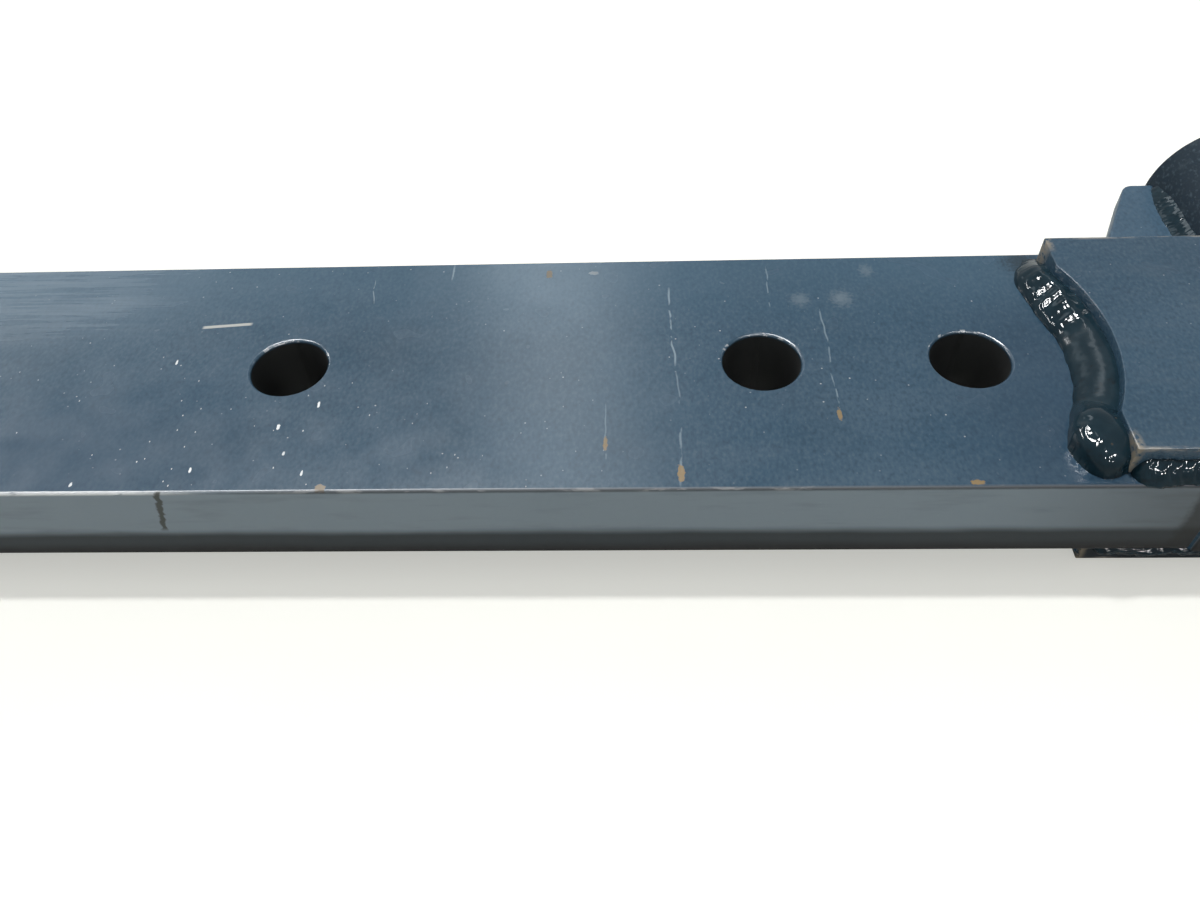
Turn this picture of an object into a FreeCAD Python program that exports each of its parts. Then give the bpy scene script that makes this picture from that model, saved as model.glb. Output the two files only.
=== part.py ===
import FreeCAD, Part
import os
import Sketcher

# Telescopic lower link of a tractor's three-point hitch, lying flat. X runs from the front ball
# to the rear ball, Y across the width with the latch on the +Y edge, and Z through the thickness.
# The origin is the centre of the front ball. All sizes are in millimetres.

doc = FreeCAD.newDocument("LowerLink")
sheet = doc.addObject("Spreadsheet::Sheet", "Dims")

DRIVING_SIZES = {
    # flat bar
    "bar_width": 80.0,
    "bar_thick": 25.0,
    "bar_length": 487.0,
    "bar_top_round": 0.7,
    "bar_bottom_round": 2.5,
    "end_groove": 1.6,
    # drilled holes, counted back from the bar's rear end
    "hole_bore": 19.3,
    "hole_rim_break": 0.5,
    "rear_hole_setback": 46.5,
    "middle_hole_pitch": 50.5,
    "front_hole_pitch": 118.0,
    # ball ends
    "ball_size": 56.0,
    "ball_width": 45.0,
    "ball_bore": 28.7,
    "ball_bore_break": 0.8,
    "socket_gap": 0.3,
    "eye_radius": 44.0,
    "eye_thick": 34.0,
    "eye_edge_round": 3.0,
    "neck_half_width": 31.0,
    "neck_hollow_radius": 130.0,
    "front_eye_reach": 110.0,
    "front_land": 14.0,
    "rear_eye_reach": 64.0,
    "rear_land": 8.0,
    "rear_neck_half_width": 25.0,
    "rear_hollow_radius": 60.0,
    # butt welds
    "butt_weld_width": 13.0,
    "butt_weld_height": 1.8,
    "butt_weld_round": 1.5,
    # sleeve of two cheeks and two spacers
    "cheek_thick": 8.0,
    "cheek_width": 72.6,
    "cheek_length": 214.5,
    "cheek_lap": 21.5,
    "cheek_corner_cut": 7.0,
    "notch_half_chord": 25.0,
    "notch_depth": 6.0,
    "end_weld_leg": 7.6,
    "end_weld_crown": 1.4,
    "blob_half_length": 9.5,
    "blob_reach": 8.0,
    "blob_overhang": 0.8,
    "blob_height": 7.2,
    "blob_top_round": 3.4,
    "seam_weld_leg": 4.5,
    "seam_weld_margin": 0.6,
    "seam_weld_end_gap": 12.0,
    # sliding bar
    "slide_width": 50.0,
    "slide_side_gap": 0.5,
    "slide_face_gap": 0.3,
    "slide_edge_break": 1.0,
    "slide_end_gap": 5.0,
    "slide_stub": 9.0,
    "slide_travel": 80.0,
    "stop_pin_size": 12.0,
    "stop_pin_setback": 50.0,
    "stop_pin_fit": 0.05,
    "stop_slot_gap": 0.5,
    "stop_weld_size": 21.0,
    "stop_weld_height": 1.2,
    "lock_hole_depth": 15.0,
    "lock_hole_gap": 0.5,
    # latch barrel
    "latch_setback": 49.0,
    "barrel_size": 42.4,
    "barrel_bore": 28.0,
    "barrel_length": 46.3,
    "barrel_rim_break": 0.5,
    "plug_bore": 32.0,
    "plug_seat_depth": 7.1,
    "plug_thick": 3.0,
    "plug_gap": 0.3,
    "ring_thick": 1.5,
    "ring_gap": 0.1,
    "ring_groove_depth": 1.0,
    "ring_width": 3.0,
    "ring_mouth_angle": 50.0,
    "barrel_weld_leg": 5.0,
    "barrel_weld_side_cut": 0.3,
    # plunger, spring and handle
    "plunger_size": 16.0,
    "plunger_tip_cut": 3.0,
    "plunger_gap": 0.4,
    "plunger_lift_gap": 1.0,
    "plunger_travel": 14.0,
    "plunger_head_thick": 12.0,
    "plunger_head_gap": 0.3,
    "plunger_seat_lift": 4.3,
    "pilot_size": 13.0,
    "pilot_height": 4.0,
    "spring_wire": 2.0,
    "spring_mean_size": 18.0,
    "spring_turns": 2.5,
    "spring_seat_gap": 0.1,
    "handle_size": 8.0,
    "handle_fit": 0.05,
    "handle_length": 42.0,
    "handle_root_depth": 6.0,
    "handle_slot_gap": 0.6,
    "park_angle": 38.0,
    "knob_size": 18.0,
    "knob_flat": 6.8,
    "knob_depth": 11.0,
    # gusset in front of the barrel
    "gusset_thick": 8.0,
    "gusset_toe_setback": 20.3,
    "gusset_height": 43.0,
    "gusset_slant_run": 21.0,
    "gusset_corner_round": 3.4,
    "gusset_weld_leg": 5.0,
    "gusset_weld_end_gap": 3.0,
    # how far a cutting outline runs past what it cuts
    "cut_overrun": 1.0,
}
for row, (alias, size) in enumerate(DRIVING_SIZES.items(), start=1):
    sheet.set(f"A{row}", alias)
    sheet.set(f"B{row}", str(size))
    sheet.setAlias(f"B{row}", alias)
doc.recompute()

# Places along the link, each worked out from the driving sizes.
BAR_START = "Dims.front_eye_reach"
BAR_END = f"({BAR_START} + Dims.bar_length)"
REAR_HOLE = f"({BAR_END} - Dims.rear_hole_setback)"
MIDDLE_HOLE = f"({REAR_HOLE} - Dims.middle_hole_pitch)"
FRONT_HOLE = f"({MIDDLE_HOLE} - Dims.front_hole_pitch)"
CHEEK_START = f"({BAR_END} - Dims.cheek_lap)"
SLEEVE_END = f"({CHEEK_START} + Dims.cheek_length)"
SLIDE_START = f"({BAR_END} + Dims.slide_end_gap)"
SLIDE_END = f"({SLEEVE_END} + Dims.slide_stub)"
REAR_BALL = f"({SLIDE_END} + Dims.rear_eye_reach)"
STOP_PIN = f"({SLEEVE_END} - Dims.stop_pin_setback)"
LATCH = f"({BAR_END} + Dims.latch_setback)"
GUSSET_TOE = f"({CHEEK_START} + Dims.gusset_toe_setback)"

# Half widths and heights that several pieces share.
BAR_EDGE = "(Dims.bar_width / 2)"
BAR_FACE = "(Dims.bar_thick / 2)"
CHEEK_EDGE = "(Dims.cheek_width / 2)"
CHEEK_FACE = f"({BAR_FACE} + Dims.cheek_thick)"
SLIDE_EDGE = "(Dims.slide_width / 2)"
SLIDE_THICK = "(Dims.bar_thick - 2 * Dims.slide_face_gap)"
CHANNEL_EDGE = f"({SLIDE_EDGE} + Dims.slide_side_gap)"
LEDGE = f"({BAR_EDGE} - {CHEEK_EDGE})"
BARREL_RADIUS = "(Dims.barrel_size / 2)"
PIN_REACH = "(Dims.stop_pin_size / 2 + Dims.stop_slot_gap)"

# Heights along the barrel's own axis, counted from the edge of the bar that it stands on.
# The plunger is drawn withdrawn, with its tip just clear of the sliding bar.
TIP_END = f"({SLIDE_EDGE} + Dims.plunger_lift_gap - {BAR_EDGE})"
HEAD_BOTTOM = "(Dims.plunger_seat_lift + Dims.plunger_travel)"
HEAD_TOP = f"({HEAD_BOTTOM} + Dims.plunger_head_thick)"
HANDLE_HEIGHT = f"({HEAD_BOTTOM} + Dims.plunger_head_thick / 2)"
PLUG_SEAT = "(Dims.barrel_length - Dims.plug_seat_depth)"
PLUG_TOP = f"({PLUG_SEAT} + Dims.plug_thick)"

FORWARD = FreeCAD.Vector(1, 0, 0)
UP = FreeCAD.Vector(0, 0, 1)
LEVEL = FreeCAD.Rotation()
HALF_TURN = FreeCAD.Rotation(UP, 180)
# Turns a piece drawn along its own Z so that it stands out of the bar's +Y edge.
OUT_OF_EDGE = FreeCAD.Rotation(FORWARD, -90)
# A sketch counts the points of its geometry from 1, and its own X and Y axes backwards from -1.
# Its origin is the start of the X axis.
START, END, CENTRE = range(1, 4)
X_AXIS, Y_AXIS = range(-1, -3, -1)
TINY = 1e-6


def value(expression):
    """The number that an expression gives with the sheet's sizes."""
    return float(sheet.evalExpression(str(expression)))


def body(label, turned=LEVEL, **place):
    """A new body at a place whose coordinates are expressions."""
    piece = doc.addObject("PartDesign::Body", label)
    piece.Placement = FreeCAD.Placement(FreeCAD.Vector(), turned)
    for axis, expression in place.items():
        piece.setExpression(f"Placement.Base.{axis}", expression)
    return piece


def sketch(piece, plane, name, lift="0"):
    """A sketch on one of the body's own planes, lifted along that plane's normal."""
    drawing = piece.newObject("Sketcher::SketchObject", name)
    support = [f for f in piece.Origin.OriginFeatures if f.Role == plane][0]
    drawing.AttachmentSupport = [(support, "")]
    drawing.MapMode = "FlatFace"
    if lift != "0":
        drawing.setExpression("AttachmentOffset.Base.z", lift)
    return drawing


def hold(drawing, kind, geometry, point, expression):
    """Ties one coordinate of a point to an expression, or to an axis where it is zero."""
    if expression == "0":
        axis = Y_AXIS if kind == "DistanceX" else X_AXIS
        drawing.addConstraint(Sketcher.Constraint("PointOnObject", geometry, point, axis))
        return
    number = value(expression)
    tie = Sketcher.Constraint(kind, X_AXIS, START, geometry, point, number)
    drawing.setExpression(f"Constraints[{drawing.addConstraint(tie)}]", expression)


def circle(drawing, x, y, radius):
    """A circle whose centre and radius are expressions."""
    centre = FreeCAD.Vector(value(x), value(y), 0)
    ring = drawing.addGeometry(Part.Circle(centre, UP, value(radius)), False)
    hold(drawing, "DistanceX", ring, CENTRE, x)
    hold(drawing, "DistanceY", ring, CENTRE, y)
    size = drawing.addConstraint(Sketcher.Constraint("Radius", ring, value(radius)))
    drawing.setExpression(f"Constraints[{size}]", radius)


def bend_between(first, last, radius, left):
    """The short arc between two points, with its centre to the left or right of the way."""
    way = last - first
    middle = (first + last) * 0.5
    rise = max(radius ** 2 - (way.Length / 2) ** 2, 0.0) ** 0.5
    aside = FreeCAD.Vector(-way.y, way.x, 0).normalize() * rise
    centre = middle + aside if left else middle - aside
    ring = Part.Circle(centre, UP, radius)
    angles = [ring.parameter(first), ring.parameter(last)]
    if not left:
        angles.reverse()
    return Part.ArcOfCircle(ring, *angles)


def outline(drawing, corners):
    """A closed outline. A corner is (x, y), or (x, y, radius, "left" or "right") where an arc
    with its centre on that side of the way leads to the next corner."""
    points = [FreeCAD.Vector(value(c[0]), value(c[1]), 0) for c in corners]
    ends = []
    for index, corner in enumerate(corners):
        first, last = points[index], points[(index + 1) % len(points)]
        if len(corner) == 2:
            edge = drawing.addGeometry(Part.LineSegment(first, last), False)
            ends.append((edge, START, END, None))
            continue
        left = corner[3] == "left"
        edge = drawing.addGeometry(bend_between(first, last, value(corner[2]), left), False)
        ends.append((edge, START if left else END, END if left else START, corner[2]))
    for index, (edge, start, end, radius) in enumerate(ends):
        after, after_start = ends[(index + 1) % len(ends)][:2]
        joint = Sketcher.Constraint("Coincident", edge, end, after, after_start)
        drawing.addConstraint(joint)
        hold(drawing, "DistanceX", edge, start, corners[index][0])
        hold(drawing, "DistanceY", edge, start, corners[index][1])
        if radius:
            size = Sketcher.Constraint("Radius", edge, value(radius))
            drawing.setExpression(f"Constraints[{drawing.addConstraint(size)}]", radius)


def rectangle(drawing, x_low, x_high, y_low, y_high):
    """A closed rectangle between four expressions."""
    outline(drawing, [(x_low, y_low), (x_high, y_low), (x_high, y_high), (x_low, y_high)])


def minus(expression):
    """The same length the other way."""
    return f"(-1 * {expression})"


def grow(piece, kind, name, drawing, **settings):
    """A feature of the body, made from a sketch. Text settings are expressions."""
    feature = piece.newObject(f"PartDesign::{kind}", name)
    feature.Profile = drawing
    for setting, entry in settings.items():
        if isinstance(entry, str) and setting not in ("Type", "SideType"):
            feature.setExpression(setting, entry)
        else:
            setattr(feature, setting, entry)
    doc.recompute()
    return feature


def pad(piece, name, drawing, length, both_ways=False, back=False):
    """Thickens a sketch into the body."""
    side = "Symmetric" if both_ways else "One side"
    return grow(piece, "Pad", name, drawing, Length=length, SideType=side, Reversed=back)


def cut(piece, name, drawing, depth=None, back=False):
    """Cuts a sketch out of the body, all the way through if no depth is given."""
    before = piece.Shape.Volume
    if depth is None:
        feature = grow(piece, "Pocket", name, drawing, Type="ThroughAll", SideType="Symmetric")
    else:
        feature = grow(piece, "Pocket", name, drawing, Length=depth, Reversed=back)
    if feature.Shape.Volume > before - TINY:
        raise ValueError(f"{piece.Label}: {name} cuts nothing")
    return feature


def turn(piece, name, drawing):
    """Turns a sketch all the way round its own upright axis."""
    return grow(piece, "Revolution", name, drawing, ReferenceAxis=(drawing, ["V_Axis"]))


def dress(piece, kind, name, size, chosen):
    """Rounds or chamfers those edges of the body that the test picks."""
    base = piece.Tip
    names = [f"Edge{n}" for n, edge in enumerate(base.Shape.Edges, start=1) if chosen(edge)]
    if not names:
        raise ValueError(f"{piece.Label}: {name} finds no edge")
    feature = piece.newObject(f"PartDesign::{kind}", name)
    feature.Base = (base, names)
    feature.setExpression("Radius" if kind == "Fillet" else "Size", size)
    doc.recompute()
    return feature


def runs_along(edge, axis):
    """True for a straight edge along the axis."""
    straight = isinstance(edge.Curve, (Part.Line, Part.LineSegment))
    return straight and abs(edge.tangentAt(edge.FirstParameter).dot(axis)) > 1 - TINY


def is_rim(edge, radius):
    """True for a whole circle of that radius."""
    return isinstance(edge.Curve, Part.Circle) and len(edge.Vertexes) == 1 \
        and abs(edge.Curve.Radius - radius) < TINY


# Flat bar

def main_bar():
    piece = body("main_bar")
    flat = sketch(piece, "XY_Plane", "bar_outline")
    rectangle(flat, BAR_START, BAR_END, minus(BAR_EDGE), BAR_EDGE)
    pad(piece, "bar_flat", flat, "Dims.bar_thick", both_ways=True)
    face = value(BAR_FACE)
    dress(piece, "Fillet", "lower_edges", "Dims.bar_bottom_round",
          lambda e: runs_along(e, FORWARD) and e.CenterOfMass.z < 0)
    dress(piece, "Fillet", "upper_edges", "Dims.bar_top_round",
          lambda e: runs_along(e, FORWARD) and abs(e.CenterOfMass.z - face) < TINY)
    holes = sketch(piece, "XY_Plane", "hole_centres")
    for place in (FRONT_HOLE, MIDDLE_HOLE, REAR_HOLE):
        circle(holes, place, "0", "Dims.hole_bore / 2")
    cut(piece, "drilled_holes", holes)
    bore = value("Dims.hole_bore / 2")
    dress(piece, "Chamfer", "hole_rims", "Dims.hole_rim_break", lambda e: is_rim(e, bore))
    return piece


# Ball ends

def ball(label, x):
    """A turned ball with two flat faces and a bore for the hitch pin."""
    piece = body(label, x=x)
    half = sketch(piece, "XZ_Plane", "ball_profile")
    bore = "(Dims.ball_bore / 2)"
    top = "(Dims.ball_width / 2)"
    radius = "(Dims.ball_size / 2)"
    rim = f"sqrt({radius}^2 - {top}^2)"
    low_break, break_rim = f"({top} - Dims.ball_bore_break)", f"({bore} + Dims.ball_bore_break)"
    outline(half, [
        (bore, minus(low_break)), (break_rim, minus(top)), (rim, minus(top), radius, "left"),
        (rim, top), (break_rim, top), (bore, low_break),
    ])
    turn(piece, "ball_turned", half)
    return piece


def eye(label, turned, x, reach, land, half_width, thick, neck, hollow):
    """A forged eye: a round boss with a ball seat, and a waisted shank to the weld."""
    piece = body(label, turned=turned, x=x)
    radius = "Dims.eye_radius"
    shank = sketch(piece, "XY_Plane", "shank_outline")
    meet = f"sqrt({radius}^2 - {neck}^2)"
    waist_end = f"({reach} - {land})"
    outline(shank, [
        (meet, minus(neck), hollow, "right"), (waist_end, minus(half_width)),
        (reach, minus(half_width)), (reach, half_width),
        (waist_end, half_width, hollow, "right"), (meet, neck),
    ])
    pad(piece, "shank_forged", shank, thick, both_ways=True)
    boss = sketch(piece, "XY_Plane", "boss_outline")
    circle(boss, "0", "0", radius)
    pad(piece, "boss_forged", boss, "Dims.eye_thick", both_ways=True)
    top = value("Dims.eye_thick / 2")
    dress(piece, "Fillet", "boss_rims", "Dims.eye_edge_round",
          lambda e: isinstance(e.Curve, Part.Circle) and abs(abs(e.CenterOfMass.z) - top) < TINY)
    before = piece.Shape.Volume
    seat = piece.newObject("PartDesign::SubtractiveSphere", "ball_seat")
    seat.setExpression("Radius", "Dims.ball_size / 2 + Dims.socket_gap")
    doc.recompute()
    if seat.Shape.Volume > before - TINY:
        raise ValueError(f"{label}: the ball seat cuts nothing")
    return piece


def butt_weld(label, x, half_width, half_thick):
    """A bead all the way round a butt joint."""
    piece = body(label, x=x)
    band = sketch(piece, "YZ_Plane", "bead_section")
    high = "Dims.butt_weld_height"
    wide, deep = f"({half_width} + {high})", f"({half_thick} + {high})"
    rectangle(band, minus(wide), wide, minus(deep), deep)
    rectangle(band, minus(half_width), half_width, minus(half_thick), half_thick)
    pad(piece, "bead", band, "Dims.butt_weld_width", both_ways=True)
    reach = value(wide) - TINY, value(deep) - TINY
    dress(piece, "Fillet", "bead_crown", "Dims.butt_weld_round",
          lambda e: not runs_along(e, FORWARD)
          and (abs(e.CenterOfMass.y) > reach[0] or abs(e.CenterOfMass.z) > reach[1]))
    return piece


# Sleeve

def cheek_plate(label, lift):
    """A plate lapped over the bar's end, with a shallow hollow in its front edge."""
    piece = body(label)
    flat = sketch(piece, "XY_Plane", "cheek_outline", lift)
    hollow = "((Dims.notch_half_chord^2 + Dims.notch_depth^2) / (2 * Dims.notch_depth))"
    rear_cut = f"({SLEEVE_END} - Dims.cheek_corner_cut)"
    edge_cut = f"({CHEEK_EDGE} - Dims.cheek_corner_cut)"
    outline(flat, [
        (CHEEK_START, minus(CHEEK_EDGE)), (rear_cut, minus(CHEEK_EDGE)),
        (SLEEVE_END, minus(edge_cut)), (SLEEVE_END, edge_cut),
        (rear_cut, CHEEK_EDGE), (CHEEK_START, CHEEK_EDGE),
        (CHEEK_START, "Dims.notch_half_chord", hollow, "right"),
        (CHEEK_START, minus("Dims.notch_half_chord")),
    ])
    pad(piece, "cheek_flat", flat, "Dims.cheek_thick")
    pin_hole = sketch(piece, "XY_Plane", "pin_hole_centre")
    circle(pin_hole, STOP_PIN, "0", "Dims.stop_pin_size / 2 + Dims.stop_pin_fit")
    cut(piece, "pin_hole", pin_hole)
    return piece


def spacer(label, inner, outer):
    """A strip between the cheeks that closes one side of the channel."""
    piece = body(label)
    flat = sketch(piece, "XY_Plane", "spacer_outline")
    groove = "Dims.end_groove"
    low_side = value(outer) < 0
    groove_y = f"({outer} + {groove})" if low_side else f"({outer} - {groove})"
    corners = [(BAR_END, inner), (SLEEVE_END, inner), (SLEEVE_END, outer),
               (f"({BAR_END} + {groove})", outer), (BAR_END, groove_y)]
    outline(flat, corners)
    pad(piece, "spacer_strip", flat, "Dims.bar_thick", both_ways=True)
    return piece


def latch_side_spacer():
    piece = spacer("latch_side_spacer", CHANNEL_EDGE, BAR_EDGE)
    bore = sketch(piece, "XZ_Plane", "plunger_hole_centre")
    circle(bore, LATCH, "0", "Dims.plunger_size / 2 + Dims.plunger_gap")
    cut(piece, "plunger_hole", bore)
    return piece


def end_weld(label, side):
    """The fillet weld in the hollow front edge of a cheek: one long pass and a heavier blob.
    It is drawn for the upper cheek, and turned over for the lower one."""
    turned = LEVEL if side == "top" else FreeCAD.Rotation(FORWARD, 180)
    piece = body(label, turned=turned)
    leg, chord = "Dims.end_weld_leg", "Dims.notch_half_chord"
    hollow = f"(({chord}^2 + Dims.notch_depth^2) / (2 * Dims.notch_depth))"
    root, top = BAR_FACE, f"({BAR_FACE} + {leg})"
    crown = f"({leg}^2 / (4 * Dims.end_weld_crown) + Dims.end_weld_crown / 2)"

    blob = sketch(piece, "XY_Plane", "blob_outline", BAR_FACE)
    half, reach = "Dims.blob_half_length", "Dims.blob_reach"
    bulge = f"({half}^2 / (2 * {reach}) + {reach} / 2)"
    near_end = f"(-1 * {CHEEK_EDGE} - Dims.blob_overhang)"
    far_end = f"({near_end} + 2 * {half})"
    outline(blob, [(CHEEK_START, near_end), (CHEEK_START, far_end, bulge, "left")])
    pad(piece, "blob", blob, "Dims.blob_height")
    blob_top = value(f"{BAR_FACE} + Dims.blob_height")
    dress(piece, "Fillet", "blob_crown", "Dims.blob_top_round",
          lambda e: isinstance(e.Curve, Part.Circle) and abs(e.CenterOfMass.z - blob_top) < TINY)

    edge = f"({CHEEK_START} + Dims.notch_depth)"
    arc_pass = sketch(piece, "XZ_Plane", "arc_pass_section")
    outline(arc_pass, [(f"({edge} - {leg})", root), (edge, root), (edge, top, crown, "left")])
    axis = piece.newObject("PartDesign::Line", "hollow_axis")
    axis.setExpression("Placement.Base.x", f"{edge} - {hollow}")
    sweep = grow(piece, "Revolution", "arc_pass", arc_pass, ReferenceAxis=(axis, [""]),
                 Midplane=True)
    sweep.setExpression("Angle", f"2 * asin({chord} / {hollow})")
    doc.recompute()

    start = f"({chord} * (1 - {leg} / {hollow}))"
    for name, lift in (("far_tip", minus(start)), ("near_tip", start)):
        tip = sketch(piece, "XZ_Plane", f"{name}_section", lift)
        outline(tip, [(f"({CHEEK_START} - {leg})", root), (CHEEK_START, root),
                      (CHEEK_START, top, crown, "left")])
        pad(piece, name, tip, f"{CHEEK_EDGE} - {start}", back=name == "far_tip")
    return piece


def seam_welds(label, side):
    """Fillet welds along the narrow ledges beside a cheek, broken where the barrel stands."""
    piece = body(label, turned=LEVEL if side == "top" else FreeCAD.Rotation(FORWARD, 180))
    latch_edge = 1 if side == "top" else -1
    gap = f"({BARREL_RADIUS} + Dims.barrel_weld_leg)"
    runs = [
        ("plain_edge", -latch_edge, CHEEK_START, SLEEVE_END),
        ("latch_edge_front", latch_edge, CHEEK_START, f"({LATCH} - {gap})"),
        ("latch_edge_rear", latch_edge, f"({LATCH} + {gap})", SLEEVE_END),
    ]
    for name, way, start, end in runs:
        stop = f"({end} - Dims.seam_weld_end_gap)" if end == SLEEVE_END else end
        bead = sketch(piece, "YZ_Plane", f"{name}_section", start)
        sign = "" if way > 0 else "-1 * "
        corners = [
            (f"({sign}{CHEEK_EDGE})", BAR_FACE),
            (f"({sign}({BAR_EDGE} - Dims.seam_weld_margin))", BAR_FACE),
            (f"({sign}{CHEEK_EDGE})", f"({BAR_FACE} + Dims.seam_weld_leg)"),
        ]
        outline(bead, corners if way > 0 else corners[::-1])
        pad(piece, name, bead, f"{stop} - {start}")
    return piece


# Sliding bar and its stop

def sliding_bar():
    piece = body("sliding_bar")
    flat = sketch(piece, "XY_Plane", "slide_outline")
    rectangle(flat, SLIDE_START, SLIDE_END, minus(SLIDE_EDGE), SLIDE_EDGE)
    pad(piece, "slide_flat", flat, SLIDE_THICK, both_ways=True)
    dress(piece, "Chamfer", "slide_edges", "Dims.slide_edge_break",
          lambda e: runs_along(e, FORWARD))
    slot = sketch(piece, "XY_Plane", "slot_outline")
    front = f"({STOP_PIN} - Dims.slide_travel)"
    rectangle(slot, front, STOP_PIN, minus(PIN_REACH), PIN_REACH)
    cut(piece, "slot_middle", slot)
    ends = sketch(piece, "XY_Plane", "slot_ends")
    for place in (front, STOP_PIN):
        circle(ends, place, "0", PIN_REACH)
    cut(piece, "slot_rounds", ends)
    lock = sketch(piece, "XZ_Plane", "lock_hole_centre", minus(SLIDE_EDGE))
    circle(lock, LATCH, "0", "Dims.plunger_size / 2 + Dims.lock_hole_gap")
    cut(piece, "lock_hole", lock, "Dims.lock_hole_depth", back=True)
    return piece


def stop_pin():
    piece = body("stop_pin", x=STOP_PIN)
    face = sketch(piece, "XY_Plane", "pin_circle")
    circle(face, "0", "0", "Dims.stop_pin_size / 2")
    pad(piece, "pin", face, f"2 * {CHEEK_FACE}", both_ways=True)
    return piece


def stop_pin_welds():
    """A low button of weld over each end of the stop pin."""
    piece = body("stop_pin_welds", x=STOP_PIN)
    for name, back in (("top_button", False), ("bottom_button", True)):
        lift = minus(CHEEK_FACE) if back else CHEEK_FACE
        face = sketch(piece, "XY_Plane", f"{name}_circle", lift)
        circle(face, "0", "0", "Dims.stop_weld_size / 2")
        pad(piece, name, face, "Dims.stop_weld_height", back=back)
    return piece


# Latch barrel

def on_edge(label):
    """A body drawn along its own Z that stands on the bar's +Y edge at the latch."""
    return body(label, turned=OUT_OF_EDGE, x=LATCH, y=BAR_EDGE)


def latch_barrel():
    piece = on_edge("latch_barrel")
    wall = sketch(piece, "XZ_Plane", "barrel_profile")
    bore, wide = "(Dims.barrel_bore / 2)", "(Dims.plug_bore / 2)"
    groove = f"({wide} + Dims.ring_groove_depth)"
    groove_low, groove_high = PLUG_TOP, f"({PLUG_TOP} + Dims.ring_thick + 2 * Dims.ring_gap)"
    end, rim = "Dims.barrel_length", "Dims.barrel_rim_break"
    outline(wall, [
        (bore, "0"), (BARREL_RADIUS, "0"), (BARREL_RADIUS, f"({end} - {rim})"),
        (f"({BARREL_RADIUS} - {rim})", end), (wide, end), (wide, groove_high),
        (groove, groove_high), (groove, groove_low), (wide, groove_low),
        (wide, PLUG_SEAT), (bore, PLUG_SEAT),
    ])
    turn(piece, "barrel_turned", wall)
    slot_half = "(Dims.handle_size / 2 + Dims.handle_slot_gap)"
    slot_low = f"({HANDLE_HEIGHT} - Dims.plunger_travel)"
    slot = sketch(piece, "YZ_Plane", "handle_slot_outline")
    rectangle(slot, minus(slot_half), slot_half, slot_low, HANDLE_HEIGHT)
    cut(piece, "handle_slot", slot, BARREL_RADIUS, back=True)
    ends = sketch(piece, "YZ_Plane", "handle_slot_ends")
    for height in (slot_low, HANDLE_HEIGHT):
        circle(ends, "0", height, slot_half)
    cut(piece, "handle_slot_rounds", ends, BARREL_RADIUS, back=True)
    park = sketch(piece, "XZ_Plane", "park_notch_outline")
    outside = f"({BARREL_RADIUS} + Dims.cut_overrun)"
    rectangle(park, f"({bore} - Dims.cut_overrun)", outside,
              f"({HANDLE_HEIGHT} - {slot_half})", f"({HANDLE_HEIGHT} + {slot_half})")
    before = piece.Shape.Volume
    notch = grow(piece, "Groove", "park_notch", park, ReferenceAxis=(park, ["V_Axis"]),
                 Angle="Dims.park_angle")
    if notch.Shape.Volume > before - TINY:
        raise ValueError("latch_barrel: the park notch cuts nothing")
    return piece


def latch_barrel_weld():
    """The weld round the barrel's foot, which also fills the ledges beside the cheeks."""
    piece = on_edge("latch_barrel_weld")
    leg = "Dims.barrel_weld_leg"
    toe = f"({BARREL_RADIUS} + {leg})"
    ring = sketch(piece, "XZ_Plane", "ring_section")
    outline(ring, [(BARREL_RADIUS, "0"), (toe, "0"), (BARREL_RADIUS, leg)])
    turn(piece, "ring", ring)
    fill = sketch(piece, "XY_Plane", "ledge_fill_circle")
    circle(fill, "0", "0", toe)
    pad(piece, "ledge_fill", fill, LEDGE, back=True)
    middle = sketch(piece, "XY_Plane", "spacer_room", minus(LEDGE))
    far = f"({toe} + Dims.cut_overrun)"
    rectangle(middle, minus(far), far, minus(BAR_FACE), BAR_FACE)
    cut(piece, "room_for_spacer", middle, LEDGE, back=True)
    side = f"({CHEEK_FACE} - Dims.barrel_weld_side_cut)"
    trim = sketch(piece, "XY_Plane", "side_trim", minus(LEDGE))
    rectangle(trim, minus(far), far, side, far)
    rectangle(trim, minus(far), far, minus(far), minus(side))
    cut(piece, "sides_trimmed", trim, f"{LEDGE} + {leg}", back=True)
    slot = sketch(piece, "XY_Plane", "gusset_room")
    rectangle(slot, minus(far), "0", minus("Dims.gusset_thick / 2"), "(Dims.gusset_thick / 2)")
    cut(piece, "room_for_gusset", slot, leg, back=True)
    return piece


def latch_plunger():
    piece = on_edge("latch_plunger")
    profile = sketch(piece, "XZ_Plane", "plunger_profile")
    shank, head = "(Dims.plunger_size / 2)", "(Dims.barrel_bore / 2 - Dims.plunger_head_gap)"
    pilot, tip = "(Dims.pilot_size / 2)", "Dims.plunger_tip_cut"
    pilot_top = f"({HEAD_TOP} + Dims.pilot_height)"
    outline(profile, [
        ("0", TIP_END), (f"({shank} - {tip})", TIP_END), (shank, f"({TIP_END} + {tip})"),
        (shank, HEAD_BOTTOM), (head, HEAD_BOTTOM), (head, HEAD_TOP), (pilot, HEAD_TOP),
        (pilot, pilot_top), ("0", pilot_top),
    ])
    turn(piece, "plunger_turned", profile)
    seat = sketch(piece, "YZ_Plane", "handle_seat", "Dims.handle_root_depth")
    circle(seat, "0", HANDLE_HEIGHT, "Dims.handle_size / 2 + Dims.handle_fit")
    cut(piece, "handle_hole", seat, head, back=True)
    return piece


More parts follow.
